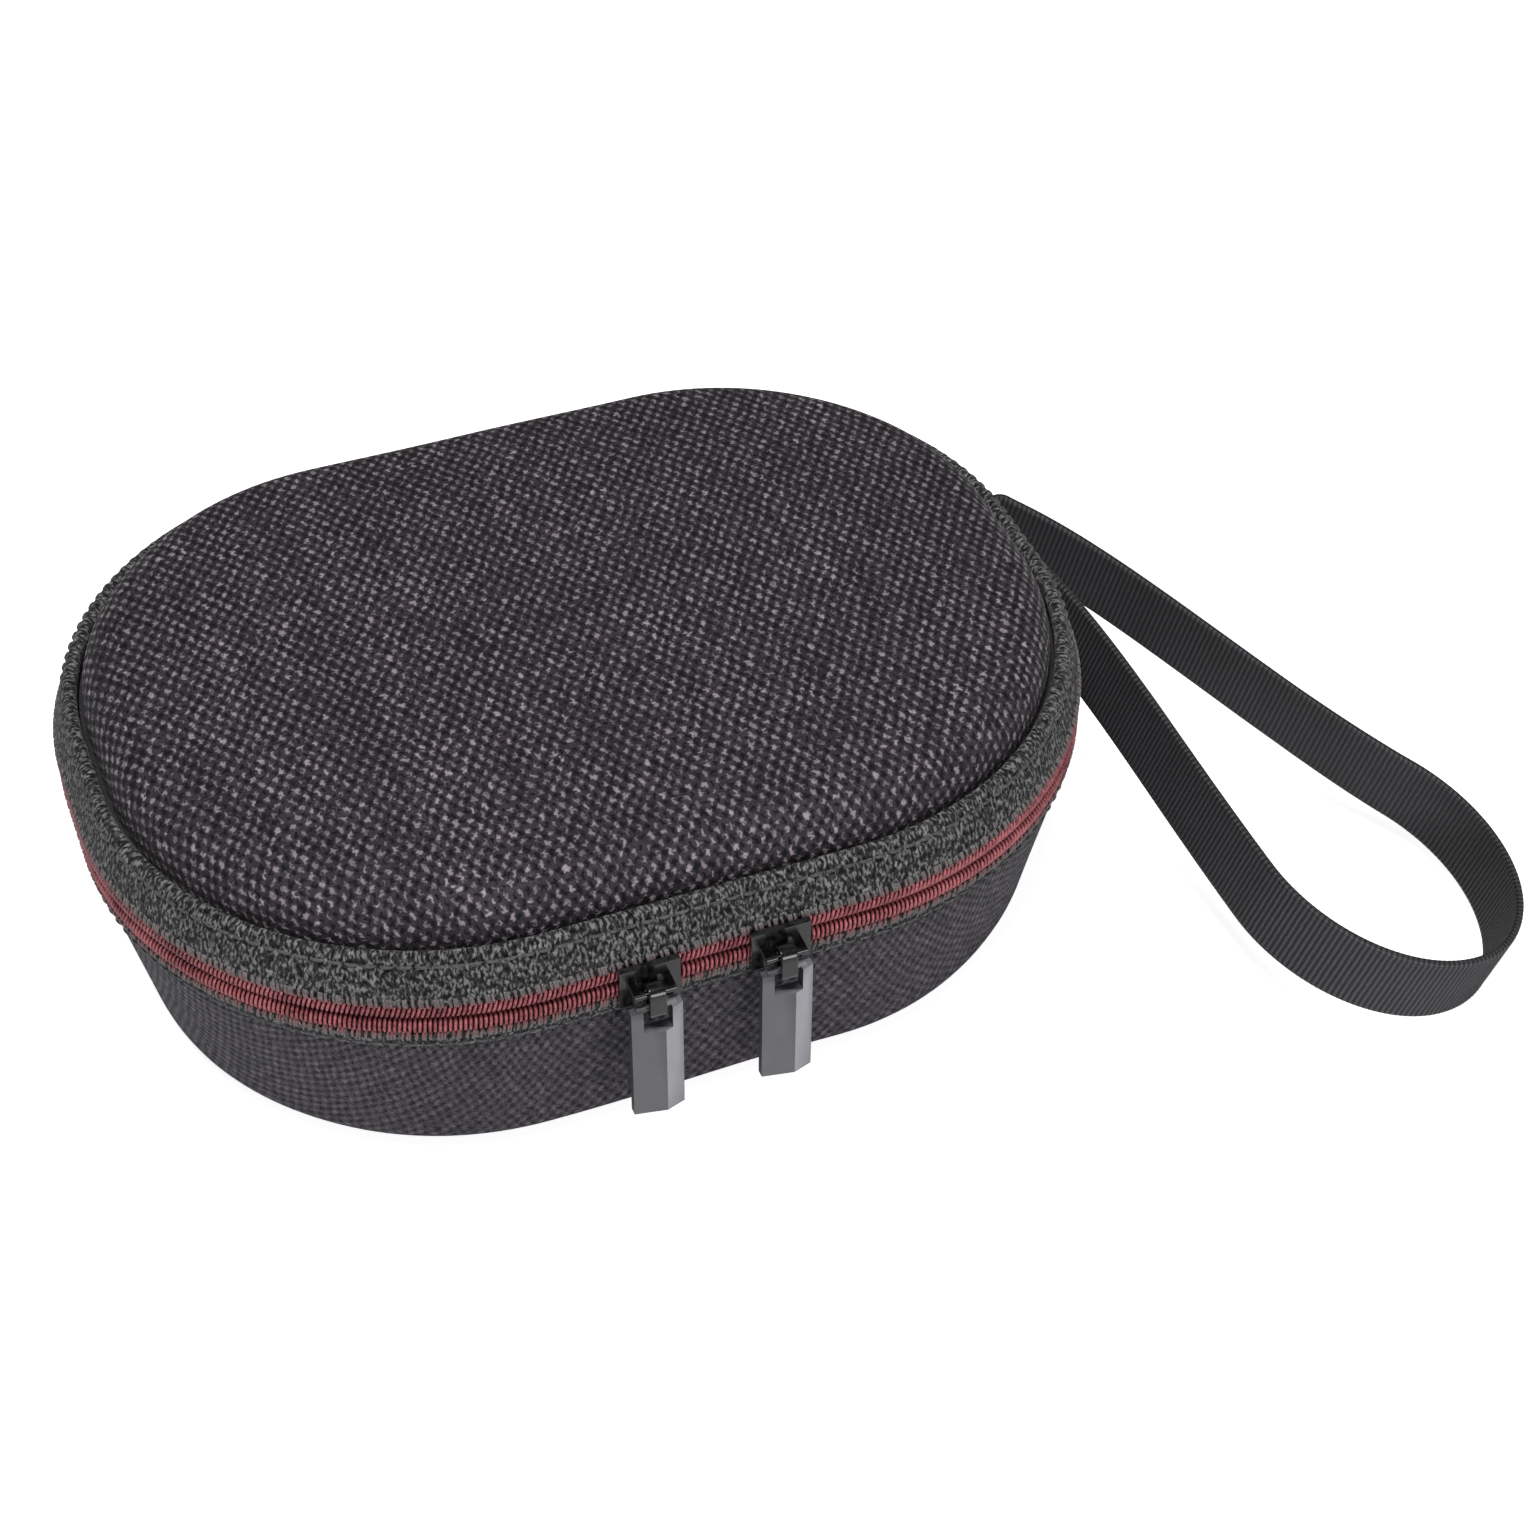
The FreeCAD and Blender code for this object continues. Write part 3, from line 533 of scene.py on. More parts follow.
def tape_strands(name, red, grey):
    """The stitches beside the coil: red next to it, fading to the tape's grey."""
    look = Finish(name, sheen=0.2)
    place = look.place()
    away = look.math("ABSOLUTE", look.minus(look.split(place)[2], ZIP_Z))
    share = look.span(look.plus(away, look.times(look.noise(place, 1.7), 2.2)), 3.8, 5.6)
    colour = look.mix(share, red, grey)
    look.paint(look.shade(colour, look.mottle(place, 2.3, 0.5, 1.5)))
    look.bump(look.noise(place, 3.0), 0.05, 0.5)
    return look.material


def ribbed_webbing(name, pitch, dark, light, roughness):
    """Grosgrain: fine ribs across the run, with yarns over them."""
    look = Finish(name, sheen=0.03, specular=0.3)
    cloth = look.cloth()
    x, y = look.split(cloth)[:2]

    def wave(along, length, height):
        turn = look.times(along, 2 * pi / length)
        return look.span(look.math("SINE", turn), -1.0, 1.0, 0.0, height)

    shift = look.times(look.noise(cloth, 0.5), 0.3)
    level = look.plus(wave(look.plus(x, shift), pitch, 0.7), wave(y, 0.55, 0.3))
    factor = look.times(look.mottle(cloth, 3.0, 0.75, 1.25, 3.0), look.mottle(cloth, 0.05, 0.85, 1.15))
    look.paint(look.shade(look.ramp(level, [(0.1, dark), (0.95, light)]), factor))
    look.put("Roughness", look.stretch(level, roughness + 0.2, roughness, 0.5))
    look.bump(level, 0.16, 0.8)
    return look.material


def brushed_lining(name, dark, light):
    """Short-napped lining cloth: soft mottling and a fine random nap."""
    look = Finish(name, roughness=0.95, sheen=0.6, specular=0.15)
    cloth = look.cloth()
    nap = look.noise(cloth, 2.6, 4.0)
    brushed = look.noise(look.merge(*look.split(look.shade(cloth, 0.12))[:2]), 1.0, 3.0)
    level = look.plus(look.times(nap, 0.65), look.times(brushed, 0.35))
    look.paint(look.ramp(level, [(0.3, dark), (0.7, light)]))
    look.bump(nap, 0.2, 0.7)
    return look.material


def foam_finish(name, dark, light):
    """Closed-cell foam: fine pores."""
    look = Finish(name, roughness=0.85, specular=0.3)
    pores = look.node("TexVoronoi", {"Vector": look.place(), "Scale": 1.6})
    look.paint(look.ramp(pores, [(0.0, dark), (0.5, light)]))
    look.bump(pores, 0.12, 0.6)
    return look.material


def plated_metal(name, dark, light, roughness=0.16):
    """Gloss black plating with fine scratches and paler, duller edges where it rubs."""
    look = Finish(name, specular=0.6)
    place = look.place()
    scratches = look.noise(look.merge(*look.split(place)[:2]), 3.5, 5.0)
    rubbed = look.times(look.worn_edges(0.52, 0.6), look.span(look.noise(place, 0.8), 0.4, 0.65))
    look.paint(look.mix(rubbed, dark, light))
    look.put("Metallic", look.times(rubbed, 0.7))
    look.put("Roughness", look.stretch(scratches, roughness - 0.05, roughness + 0.14))
    look.put("Coat Weight", 0.25)
    look.put("Coat Roughness", 0.1)
    look.bump(scratches, 0.015, 0.5)
    return look.material


def moulded_grey(name, dark, light, rubbed):
    """Satin moulded polymer of the pull tabs: very fine grain, paler at rubbed edges."""
    look = Finish(name, specular=0.6)
    place = look.place()
    grain = look.noise(place, 4.5, 4.0)
    level = look.plus(look.times(grain, 0.3), look.times(look.noise(place, 0.22, 2.0), 0.7))
    colour = look.ramp(level, [(0.3, dark), (0.7, light)])
    wear = look.times(look.worn_edges(0.53, 0.62), 0.07)
    look.paint(look.mix(wear, colour, rubbed))
    look.put("Roughness", look.stretch(grain, 0.34, 0.5))
    look.bump(grain, 0.02, 0.6)
    return look.material


RIB_PITCH = 1.05
FINISHES = {
    # The third colour of each weave is the float tone with a painted glint in it.
    "cover": ballistic_weave("woven_cover", (6, 4, 6), (46, 41, 46), (129, 120, 128)),
    "base": ballistic_weave("woven_base", (20, 17, 21), (60, 55, 62), (88, 81, 91)),
    "tape": felted_tape("zip_tape_knit", (9, 9, 9), (54, 53, 54), (126, 128, 126)),
    "coil": strand_finish("coil_filament", (96, 32, 40), (206, 118, 124)),
    "cord": strand_finish("coil_cord", (26, 3, 7), (66, 13, 20), 0.8),
    "strands": tape_strands("coil_stitching", (132, 66, 70), (104, 96, 97)),
    "thread": strand_finish("seam_thread", (26, 26, 27), (92, 92, 92), 0.6, 0.3),
    "lining": brushed_lining("brushed_lining", (30, 30, 32), (74, 74, 78)),
    "binding": ribbed_webbing("edge_binding", 0.8, (16, 16, 17), (56, 56, 58), 0.75),
    "foam": foam_finish("foam", (18, 18, 19), (52, 52, 54)),
    "webbing": ribbed_webbing("wrist_webbing", RIB_PITCH, (13, 12, 13), (60, 58, 62), 0.5),
    "elastic": ribbed_webbing("gathered_elastic", 1.3, (14, 14, 15), (60, 60, 62), 0.7),
    "mesh": strand_finish("net_yarn", (20, 20, 22), (78, 78, 82), 0.55, 0.2),
    "metal": plated_metal("black_plating", (5, 5, 6), (64, 64, 66)),
    "tab": moulded_grey("pull_tab_polymer", (52, 51, 55), (62, 61, 65), (190, 190, 194)),
}


# ---- covers, linings and foam

CORNER_ROWS = 12
FLAT_REACH = 42.0
COVER_RIPPLE = 0.35
LINING_RIPPLE = 0.3
FOAM_GAP = 0.1
LINING_GAP = 0.2
LID_COVER_TUCK = 3.0
BASE_COVER_TUCK = 2.0
LID_LINING_RISE = 1.0
FLARE_DROP = 2.8
TAPE_DEPTH = 1.1


def arc_rows(centre_inset, centre_height, radius, start, end):
    """Rows of a rounded corner of the profile, angles in degrees from level outwards to upwards."""
    turn = np.radians(np.linspace(start, end, CORNER_ROWS))
    return [(centre_inset - radius * cos(t), centre_height + radius * sin(t)) for t in turn]


def with_sheet(rows, flat_from):
    """Adds each row's inset in the flat cloth: equal on the flat, further out by its path elsewhere."""
    rows = np.array(rows)
    steps = np.linalg.norm(np.diff(rows, axis=0), axis=1)
    sheet = rows[:, 0].copy()
    for k in range(flat_from - 1, -1, -1):
        sheet[k] = sheet[k + 1] - steps[k]
    return np.column_stack([rows, sheet])


def lid_profile(depth, low):
    """The lid's wall, shoulder and crowned top, that deep inside the outer skin, from a height up."""
    level = LID_TOP - CROWN_RISE - LID_FILLET
    lean = atan(LID_SLOPE)
    crown_angle = degrees(atan(2 * CROWN_RISE / CROWN_RUN))
    touch = level + LID_FILLET * sin(lean)
    centre = lid_wall_at(touch) + LID_FILLET * cos(lean)
    wall = [(lid_wall_at(height) + depth, height) for height in np.linspace(low, touch - 1, 4)]
    shoulder = arc_rows(centre, level, LID_FILLET - depth, degrees(lean), 90 - crown_angle)
    edge_inset, edge_height = shoulder[-1]
    past = np.linspace(0, FLAT_REACH, 19)[1:]
    share = np.minimum(past / CROWN_RUN, 1.0)
    crown = list(zip(edge_inset + past, edge_height + CROWN_RISE * (2 * share - share * share)))
    return with_sheet(wall + shoulder + crown, len(wall) + len(shoulder) - 1)


def base_profile(depth, top):
    """The base's wall, rounded bottom edge and bottom, that deep inside the outer skin."""
    lean = atan(BASE_SLOPE)
    touch = BASE_FILLET * (1 - sin(lean))
    centre = (ZIP_Z - touch) * BASE_SLOPE + BASE_FILLET * cos(lean)
    wall = [((ZIP_Z - height) * BASE_SLOPE + depth / cos(lean), height)
            for height in np.linspace(top, touch + 1.5, 9)]
    corner = arc_rows(centre, BASE_FILLET, BASE_FILLET - depth, -degrees(lean), -90)
    bottom = [(centre + past, depth) for past in np.linspace(0, FLAT_REACH, 10)[1:]]
    return with_sheet(wall + corner + bottom, len(wall) + len(corner) - 1)


def make_skin(name, node, profile, gauge, finish, ripple=0.0):
    """A cover, lining or foam, on the lid or on the base as its node's name says."""
    body = node.split("_")[0]
    skin = moulded_skin(name, profile, ripple)
    if body == "base":
        flip(skin)
    finish_piece(thicken(skin, gauge), body, finish, node)


def make_skins():
    """The woven covers, and the brushed linings that show when the case is open."""
    cover = lid_profile(0, TAPE_TOP - LID_COVER_TUCK), base_profile(0, TAPE_LOW + BASE_COVER_TUCK)
    depth = COVER_GAUGE + SHELL_GAUGE + LINING_GAP
    lining = lid_profile(depth, EDGE_HIGH + LID_LINING_RISE), base_profile(depth, EDGE_LOW - LINING_GAP)
    for k, body, look in ((0, "lid", "cover"), (1, "base", "base")):
        make_skin(f"{body}_cover_cloth", f"{body}_cover", cover[k],
                  COVER_GAUGE, look, COVER_RIPPLE)
        make_skin(f"{body}_lining_cloth", f"{body}_lining", lining[k],
                  LINING_GAUGE, "lining", LINING_RIPPLE)


def make_lid_foam():
    """The lid's moulded foam: the dome and the flared edge that the upper tape is sewn over."""
    dome = lid_profile(COVER_GAUGE + FOAM_GAP, EDGE_HIGH)
    make_skin("lid_foam_dome", "lid_shell", dome, SHELL_GAUGE, "foam")
    top = TAPE_TOP - FLARE_DROP
    section = [(flare_at(EDGE_HIGH) + TAPE_DEPTH, EDGE_HIGH), (flare_at(top) + TAPE_DEPTH, top),
               (lid_wall_at(top) + COVER_GAUGE, top), (lid_wall_at(EDGE_HIGH) + COVER_GAUGE, EDGE_HIGH)]
    finish_piece(band("lid_foam_flare", section), "lid", "foam")


# ---- zip

# Corners of the tapes' sections, as (inwards, up) from the tape's free edge and from the foam's edge.
UPPER_ROLL = ((0.2, -0.2), (0.7, 0.15), (1.3, 0.2), (1.9, -0.1), (2.3, -0.8), (2.5, -2.4), (1.6, -3.0))
UPPER_BACK = ((1.2, 2.0), (0.8, 0.0))
LOWER_ROLL = ((1.0, 0.5), (0.5, 0.0), (0.2, 0.05))
UPPER_ROLL_START = 0.8
LOWER_ROLL_START = 0.3

COIL_PITCH = 0.86
COIL_DEPTH = 1.2
COIL_LEAN = 0.3 * COIL_PITCH
COIL_STEPS = 12
COIL_END_GAP = 0.5
STRAND_RADIUS = 0.29
COIL_OVERLAP = 0.35
CORD_DEPTH = 1.25
CORD_RADIUS = 0.55
CORD_ROOM = 0.65
STITCH_RADIUS = 0.27
STITCH_REACH = 1.9
STITCH_TUCK = 0.5
STITCH_PROUD = 0.12
STITCH_BOW = 0.22
STITCH_STRAY = 0.35
STRAY_TURN = 5.1
SEAM_STITCH = 2.5
SEAM_GAP = 0.55
SEAM_PROUD = 0.32
SEAM_RADIUS = 0.3


def lid_wall_at(height):
    """Inset of the lid cover's outer face."""
    return LID_INSET + LID_SLOPE * (height - ZIP_Z)


def flare_at(height):
    """Inset of the upper tape's outer face."""
    return FLARE_INSET - TAPE_PROUD + FLARE_SLOPE * (height - EDGE_HIGH)


def wall_at(height):
    """Inset of the lower tape's outer face."""
    return (ZIP_Z - height) * BASE_SLOPE - TAPE_PROUD


# For each body: which way its tape runs from the zip, the tape's inset and the tape's edge at the zip.
TAPE_SIDES = {"lid": (1, flare_at, EDGE_HIGH), "base": (-1, wall_at, EDGE_LOW)}


def crowned_face(tape_at, low, high, crown, count):
    """A tape's outer face from one height to another, a little proud between its edges."""
    share = np.linspace(0, 1, count)
    height = low + share * (high - low)
    return list(zip(tape_at(height) - crown * 4 * share * (1 - share), height))


def make_tapes():
    """The two knitted tapes: slightly crowned bands with rolled edges."""
    section = crowned_face(flare_at, EDGE_HIGH, TAPE_TOP - UPPER_ROLL_START, 0.35, 9)
    section += [(flare_at(TAPE_TOP) + inwards, TAPE_TOP + up) for inwards, up in UPPER_ROLL]
    section += [(FLARE_INSET + inwards, EDGE_HIGH + up) for inwards, up in UPPER_BACK]
    finish_piece(band("upper_tape_knit", section), "lid", "tape", "upper_zip_tape")

    section = [(wall_at(TAPE_LOW) + inwards, TAPE_LOW + up) for inwards, up in LOWER_ROLL]
    section += crowned_face(wall_at, TAPE_LOW + LOWER_ROLL_START, EDGE_LOW, 0.25, 7)
    section += [(wall_at(EDGE_LOW) + TAPE_DEPTH, EDGE_LOW)]
    lower = flip(band("lower_tape_knit", section[::-1]))
    finish_piece(lower, "base", "tape", "lower_zip_tape")


def outward_at(place):
    """Directions out of the rim and along it at one place."""
    x, y = rim_at(np.array([place]))[1][0]
    return np.array([x, y, 0.0]), np.array([-y, x, 0.0])


def make_coil(row):
    """One coil row: a filament wound round a cord, with the stitches that hold it to the tape."""
    name, body = row + "_coil", "lid" if row == "upper" else "base"
    side, tape_at, edge = TAPE_SIDES[body]
    low, high = node_box(row + "_zip_coil")
    middle, half = (low[2] + high[2] - side * COIL_OVERLAP) / 2, (high[2] - low[2] + COIL_OVERLAP) / 2
    turns = np.arange(COIL_END + COIL_END_GAP, RIM_LENGTH - COIL_END - COIL_END_GAP, COIL_PITCH)
    place = np.arange(turns[0], turns[-1], COIL_PITCH / COIL_STEPS)
    turn = (place - place[0]) / COIL_PITCH * 2 * pi
    lean = COIL_LEAN * np.sin(turn) * side
    inset = COIL_DEPTH - (COIL_DEPTH - STRAND_RADIUS) * np.cos(turn)
    height = middle + (half - STRAND_RADIUS) * np.sin(turn) * side
    spiral = ring_points(place + lean, inset, height)
    centre = ring_points(place + lean, COIL_DEPTH, middle)
    filament = make_piece(name, *tube(spiral, STRAND_RADIUS, 6, spiral - centre))
    finish_piece(filament, body, "coil", row + "_zip_coil")

    section = [(CORD_DEPTH + CORD_RADIUS * cos(t), middle + (half - CORD_ROOM) * sin(t))
               for t in np.linspace(0, 2 * pi, 10, endpoint=False)]
    cord = flip(band(name + "_cord", section, np.linspace(turns[0], turns[-1], 240)))
    finish_piece(cord, body, "cord")

    share = np.linspace(0, 1, 6)
    rise = edge + side * (STITCH_REACH * share - STITCH_TUCK)
    bow = STITCH_BOW * np.sin(pi * share)
    inset = tape_at(rise) - STITCH_PROUD - bow + STITCH_TUCK * (1 - share) ** 4
    parts = []
    for place in turns[:-1]:
        slant = place + COIL_LEAN * (1 - share) + STITCH_STRAY * sin(place * STRAY_TURN)
        across = np.tile(outward_at(place)[0], (len(share), 1))
        parts.append(tube(ring_points(slant, inset, rise), STITCH_RADIUS, 5, across))
    stitches = make_piece(name + "_stitches", *gather(parts))
    finish_piece(stitches, body, "strands")


def make_seam(body):
    """A line of thread round a tape, stitch by stitch."""
    tape_at = TAPE_SIDES[body][1]
    low, high = node_box(body + "_seam_thread")
    height = (low[2] + high[2]) / 2
    count = int(RIM_LENGTH / (SEAM_STITCH + SEAM_GAP))
    parts = []
    for place in (np.arange(count) + 0.5) * RIM_LENGTH / count:
        out, along = outward_at(place)
        middle = ring_points(place, tape_at(height) - SEAM_PROUD, height)
        parts.append(bead(middle, along, out, SEAM_STITCH, SEAM_RADIUS))
    stitches = make_piece(body + "_seam_stitches", *gather(parts))
    finish_piece(stitches, body, "thread", body + "_seam_thread")


# ---- bindings and hinge

BINDING_FRONT = 4.0
BINDING_BACK = 4.7
BINDING_LIP = 5.2
BINDING_END = 5.4
BINDING_FOLD = 0.4
BINDING_DEPTH = {"lid": 5.5, "base": 5.6, "swell": 5.7}
BINDING_SWELL = 4.0

HINGE_LAP = 2.5
HINGE_TUCK = 0.35
HINGE_LIFT = 0.1
CREASE_DEPTH = 0.35
CREASE_WIDTH = 0.9


def make_binding(body):
    """The folded tape over a raw inner edge: over the lip, down the inside and back to the edge."""
    low, high = node_box(body + "_binding")
    side, tape_at, edge = TAPE_SIDES[body]
    lip, end = (low[2], high[2])[::side]

    def inside(height, depth):
        return tape_at(height) + TAPE_PROUD + depth

    section = [(BINDING_FRONT, edge - side * 0.1), (BINDING_FRONT + 0.2, lip),
               (inside(lip, BINDING_LIP), lip),
               (inside(lip, BINDING_DEPTH[body]), lip + side * BINDING_FOLD)]
    if body == "base":
        section.append((inside(end + BINDING_SWELL, BINDING_DEPTH["swell"]), end + BINDING_SWELL))
    section += [(inside(end, BINDING_END), end), (inside(end, BINDING_BACK), end),
                (inside(edge, BINDING_BACK), edge)]
    piece = band(body + "_edge_binding", section[::-1])
    if body == "base":
        flip(piece)
    finish_piece(piece, body, "binding", body + "_binding")


def make_hinge():
    """The fabric strip across the back, with a shallow crease where the lid hinges."""
    low, high = node_box("hinge_spine")
    x, z = np.meshgrid(np.linspace(low[0], high[0], 61),
                       np.linspace(low[2] - HINGE_LAP, high[2] + HINGE_LAP, 25), indexing="ij")
    crease = np.exp(-((z - ZIP_Z) / CREASE_WIDTH) ** 2) * CREASE_DEPTH
    lie = np.where(z < EDGE_LOW, HALF_Y - wall_at(z) + HINGE_TUCK, HALF_Y + HINGE_LIFT)
    lie = np.where(z > EDGE_HIGH, HALF_Y - flare_at(z) + HINGE_TUCK, lie) - crease
    outer = np.stack([x, lie, z], -1)
    inner = np.stack([x, lie - (high[1] - low[1]), z], -1)
    spine = flip(closed_sheet("hinge_fabric", outer, inner, x, z))
    finish_piece(spine, None, "tape", "hinge_spine")
    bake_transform(spine)


# ---- lid pocket

NET_PITCH = 2.6
NET_GAUGE = 0.55
NET_MARGIN = 1.0
NET_SAG = 1.2
NET_MIDDLE = 22
NET_REACH = 42
POCKET_BINDING_OUT = 1.2
POCKET_BINDING_WIDTH = 3.4
POCKET_BINDING_LAP = 9
ELASTIC_GAUGE = 0.8
ELASTIC_BOW = 1.2
ELASTIC_DROP = 0.6
GATHER_HEIGHT = 0.45
GATHER_PITCH = 3.1


def make_net(level, front, inset):
    """A diamond net of yarn inside the lid's outline, behind the pocket's mouth."""
    span = int(HALF_X * 2 / NET_PITCH)
    points, index, faces = [], {}, []

    def inside(x, y):
        straight_x, straight_y = HALF_X - BACK_RADIUS, HALF_Y - BACK_RADIUS
        room = BACK_RADIUS - inset - NET_MARGIN
        past = hypot(max(abs(x) - straight_x, 0), max(y - straight_y, 0))
        return y > front - NET_MARGIN and past < room and abs(x) < straight_x + room

    def corner(a, b):
        if (a, b) not in index:
            x, y = (a - b) * NET_PITCH / 2, (a + b) * NET_PITCH / 2
            slack = max(0.0, 1 - (x / HALF_X) ** 2) * max(0.0, 1 - ((y - NET_MIDDLE) / NET_REACH) ** 2)
            index[(a, b)] = len(points)
            points.append((x, y, level - NET_SAG * slack))
        return index[(a, b)]

    for a in range(-span, span):
        for b in range(-span, span):
            if inside((a - b) * NET_PITCH / 2, (a + b + 1) * NET_PITCH / 2):
                faces.append([corner(a, b), corner(a + 1, b), corner(a + 1, b + 1), corner(a, b + 1)])
    net = flip(make_piece("mesh_pocket_net", np.array(points), faces))
    wires = net.modifiers.new("strands", "WIREFRAME")
    wires.thickness, wires.use_even_offset = NET_GAUGE * MM, False
    finish_piece(net, "lid", "mesh", "mesh_pocket")


def make_pocket():
    """The net pocket in the lid: its net, the binding round it and the gathered elastic."""
    low, high = node_box("mesh_pocket")
    level, inset = (low[2] + high[2]) / 2, HALF_X - high[0]
    make_net(level, low[1], inset)

    shallow = inset - POCKET_BINDING_OUT
    deep = shallow + POCKET_BINDING_WIDTH
    side = 2 * HALF_Y - BACK_RADIUS - FRONT_RADIUS
    reach = BACK_RADIUS * pi / 2 + HALF_X - BACK_RADIUS + side + POCKET_BINDING_LAP
    section = [(shallow, level - 1.0), (shallow, level + 1.0), (deep, level + 0.9), (deep, level - 0.9)]
    edge = band("mesh_pocket_binding", section, np.linspace(-reach, reach, 200))
    finish_piece(edge, "lid", "binding")

    low, high = node_box("pocket_elastic")
    x, y = np.meshgrid(np.linspace(low[0] + 0.5, high[0] - 0.5, 420),
                       np.linspace(low[1], high[1] + 1.0, 9), indexing="ij")
    gathers = GATHER_HEIGHT * np.sin(x * 2 * pi / GATHER_PITCH + 0.6 * np.sin(x * 0.31))
    bow = ELASTIC_BOW * (1 - (x / HALF_X) ** 2)
    surface = np.stack([x, y + bow, level - ELASTIC_DROP + gathers], -1)
    faces, corners = grid_faces(*x.shape)
    elastic = make_piece("pocket_elastic_band", surface, faces, grid_uvs(x, y, corners))
    finish_piece(thicken(elastic, ELASTIC_GAUGE), "lid", "elastic", "pocket_elastic")


# ---- wrist strap

STRAP_REACH = 84.4
STRAP_BEND = 26.5
STRAP_STRETCH = 1.12
FAR_BULGE = 2.3
FAR_TWIST = 0.13
NEAR_BULGE = -2.8
FAR_ROOT = (-8.0, 6.4)
NEAR_ROOT = (-1.0, 2.2)
ROOT_PULL = 14.0
BEND_PULL = 26.0
TAIL_PULL = 0.4
FAR_TAIL_LIFT = 1.7
NEAR_TAIL_LIFT = 1.1
STRAP_WIDTH = 15.6
STRAP_GAUGE = 1.5
STRAP_HEADING = -65.8
STRAP_LEAN = (0.25, -0.15, 1.0)
RIB_RISE = 0.07
RIB_STEPS = 4
# Half of the webbing's section: distance from the edge, share of the gauge, share of the ribs' rise.
WEBBING_HALF = ((0.0, 0.35, 0.0), (0.15, 0.8, 0.3), (0.7, 1.0, 0.5), (1.5, 0.9, 1.0),
                (3.8, 0.92, 1.0), (7.8, 0.92, 1.0))

ANCHOR_MARGIN = 2.0
ANCHOR_TOP_GAP = 2.0
ANCHOR_DROP = 1.5
ANCHOR_GAUGE = 2.5
ANCHOR_LIFT_RUN = 9.0
BOX_TOP_GAP = 1.5
BOX_STITCH = 1.7
BOX_STITCH_PROUD = 2.62
BOX_STITCH_RADIUS = 0.24


def strap_frame():
    """The loop's axes: along it, across it in its plane, and across the webbing."""
    up = Vector(STRAP_LEAN).normalized()
    lean = Vector((0, 0, 1)).rotation_difference(up).to_matrix()
    turn = Matrix.Rotation(radians(STRAP_HEADING), 3, "Z")
    return np.array(lean @ turn)


def wall_patch(y, height, depth):
    """A point on the base's right wall, that deep inside its skin."""
    radius = BACK_RADIUS - (ZIP_Z - height) * BASE_SLOPE - depth
    past = np.maximum(y - (HALF_Y - BACK_RADIUS), 0)
    x = HALF_X - BACK_RADIUS + np.sqrt(np.maximum(radius ** 2 - past ** 2, 0))
    return np.stack(np.broadcast_arrays(x, y, height), -1)


def loop_line():
    """Middle line of the webbing in the loop's own plane, from the wall round the loop and back."""
    half = asin(STRAP_BEND / STRAP_REACH)
    ahead, side = facing(half), facing(half + pi / 2)
    touch = np.array([STRAP_REACH, 0]) + STRAP_BEND * side
    share = np.linspace(0, 1, 200)[:, None]

    def branch(root, bulge):
        line = bezier(np.array(root), root + ahead * ROOT_PULL, touch - ahead * BEND_PULL, touch, share)
        return line + bulge * np.sin(pi * share ** 0.7) ** 2 * side

    turn = np.linspace(pi / 2 + half, -pi / 2 - half, 120)[1:-1]
    bend = np.stack([STRAP_REACH + STRAP_BEND * np.cos(turn), STRAP_BEND * np.sin(turn)], -1)
    near = branch(NEAR_ROOT, NEAR_BULGE) * [1, -1]
    return np.concatenate([branch(FAR_ROOT, FAR_BULGE), bend, near[::-1]]) * [STRAP_STRETCH, 1]


def strap_line():
    """Points of the webbing's middle line and its across-width direction, tails on the wall included."""
    axes = strap_frame()
    loop = STRAP_ROOT + loop_line() @ axes[:, :2].T
    twist = FAR_TWIST * np.clip(np.linspace(2.2, -2.0, len(loop)), 0, 1)[:, None]
    width = unit(axes[:, 2] - twist * axes[:, 1])
    low, high = node_box("strap_anchor")
    middle = (low + high) / 2
    share = np.linspace(0, 1, 40)[:, None]

    def tail(end, following, place, lift):
        begin = wall_patch(place, middle[2], -lift)
        forward = begin - wall_patch(place + 1.0, middle[2], -lift)
        wall_up = unit(wall_patch(place, middle[2] + 1.0, -lift) - begin)
        arrive = unit(loop[following] - loop[end])
        pull = np.linalg.norm(loop[end] - begin) * TAIL_PULL
        line = bezier(begin, begin + forward * pull, loop[end] - arrive * pull, loop[end], share)
        return line[:-1], unit((1 - share) * wall_up + share * width[end])[:-1]

    far_line, far_width = tail(0, 1, high[1] - 1.0, FAR_TAIL_LIFT)
    near_line, near_width = tail(-1, -2, middle[1], NEAR_TAIL_LIFT)
    return (np.concatenate([far_line, loop, near_line[::-1]]),
            np.concatenate([far_width, width, near_width[::-1]]))


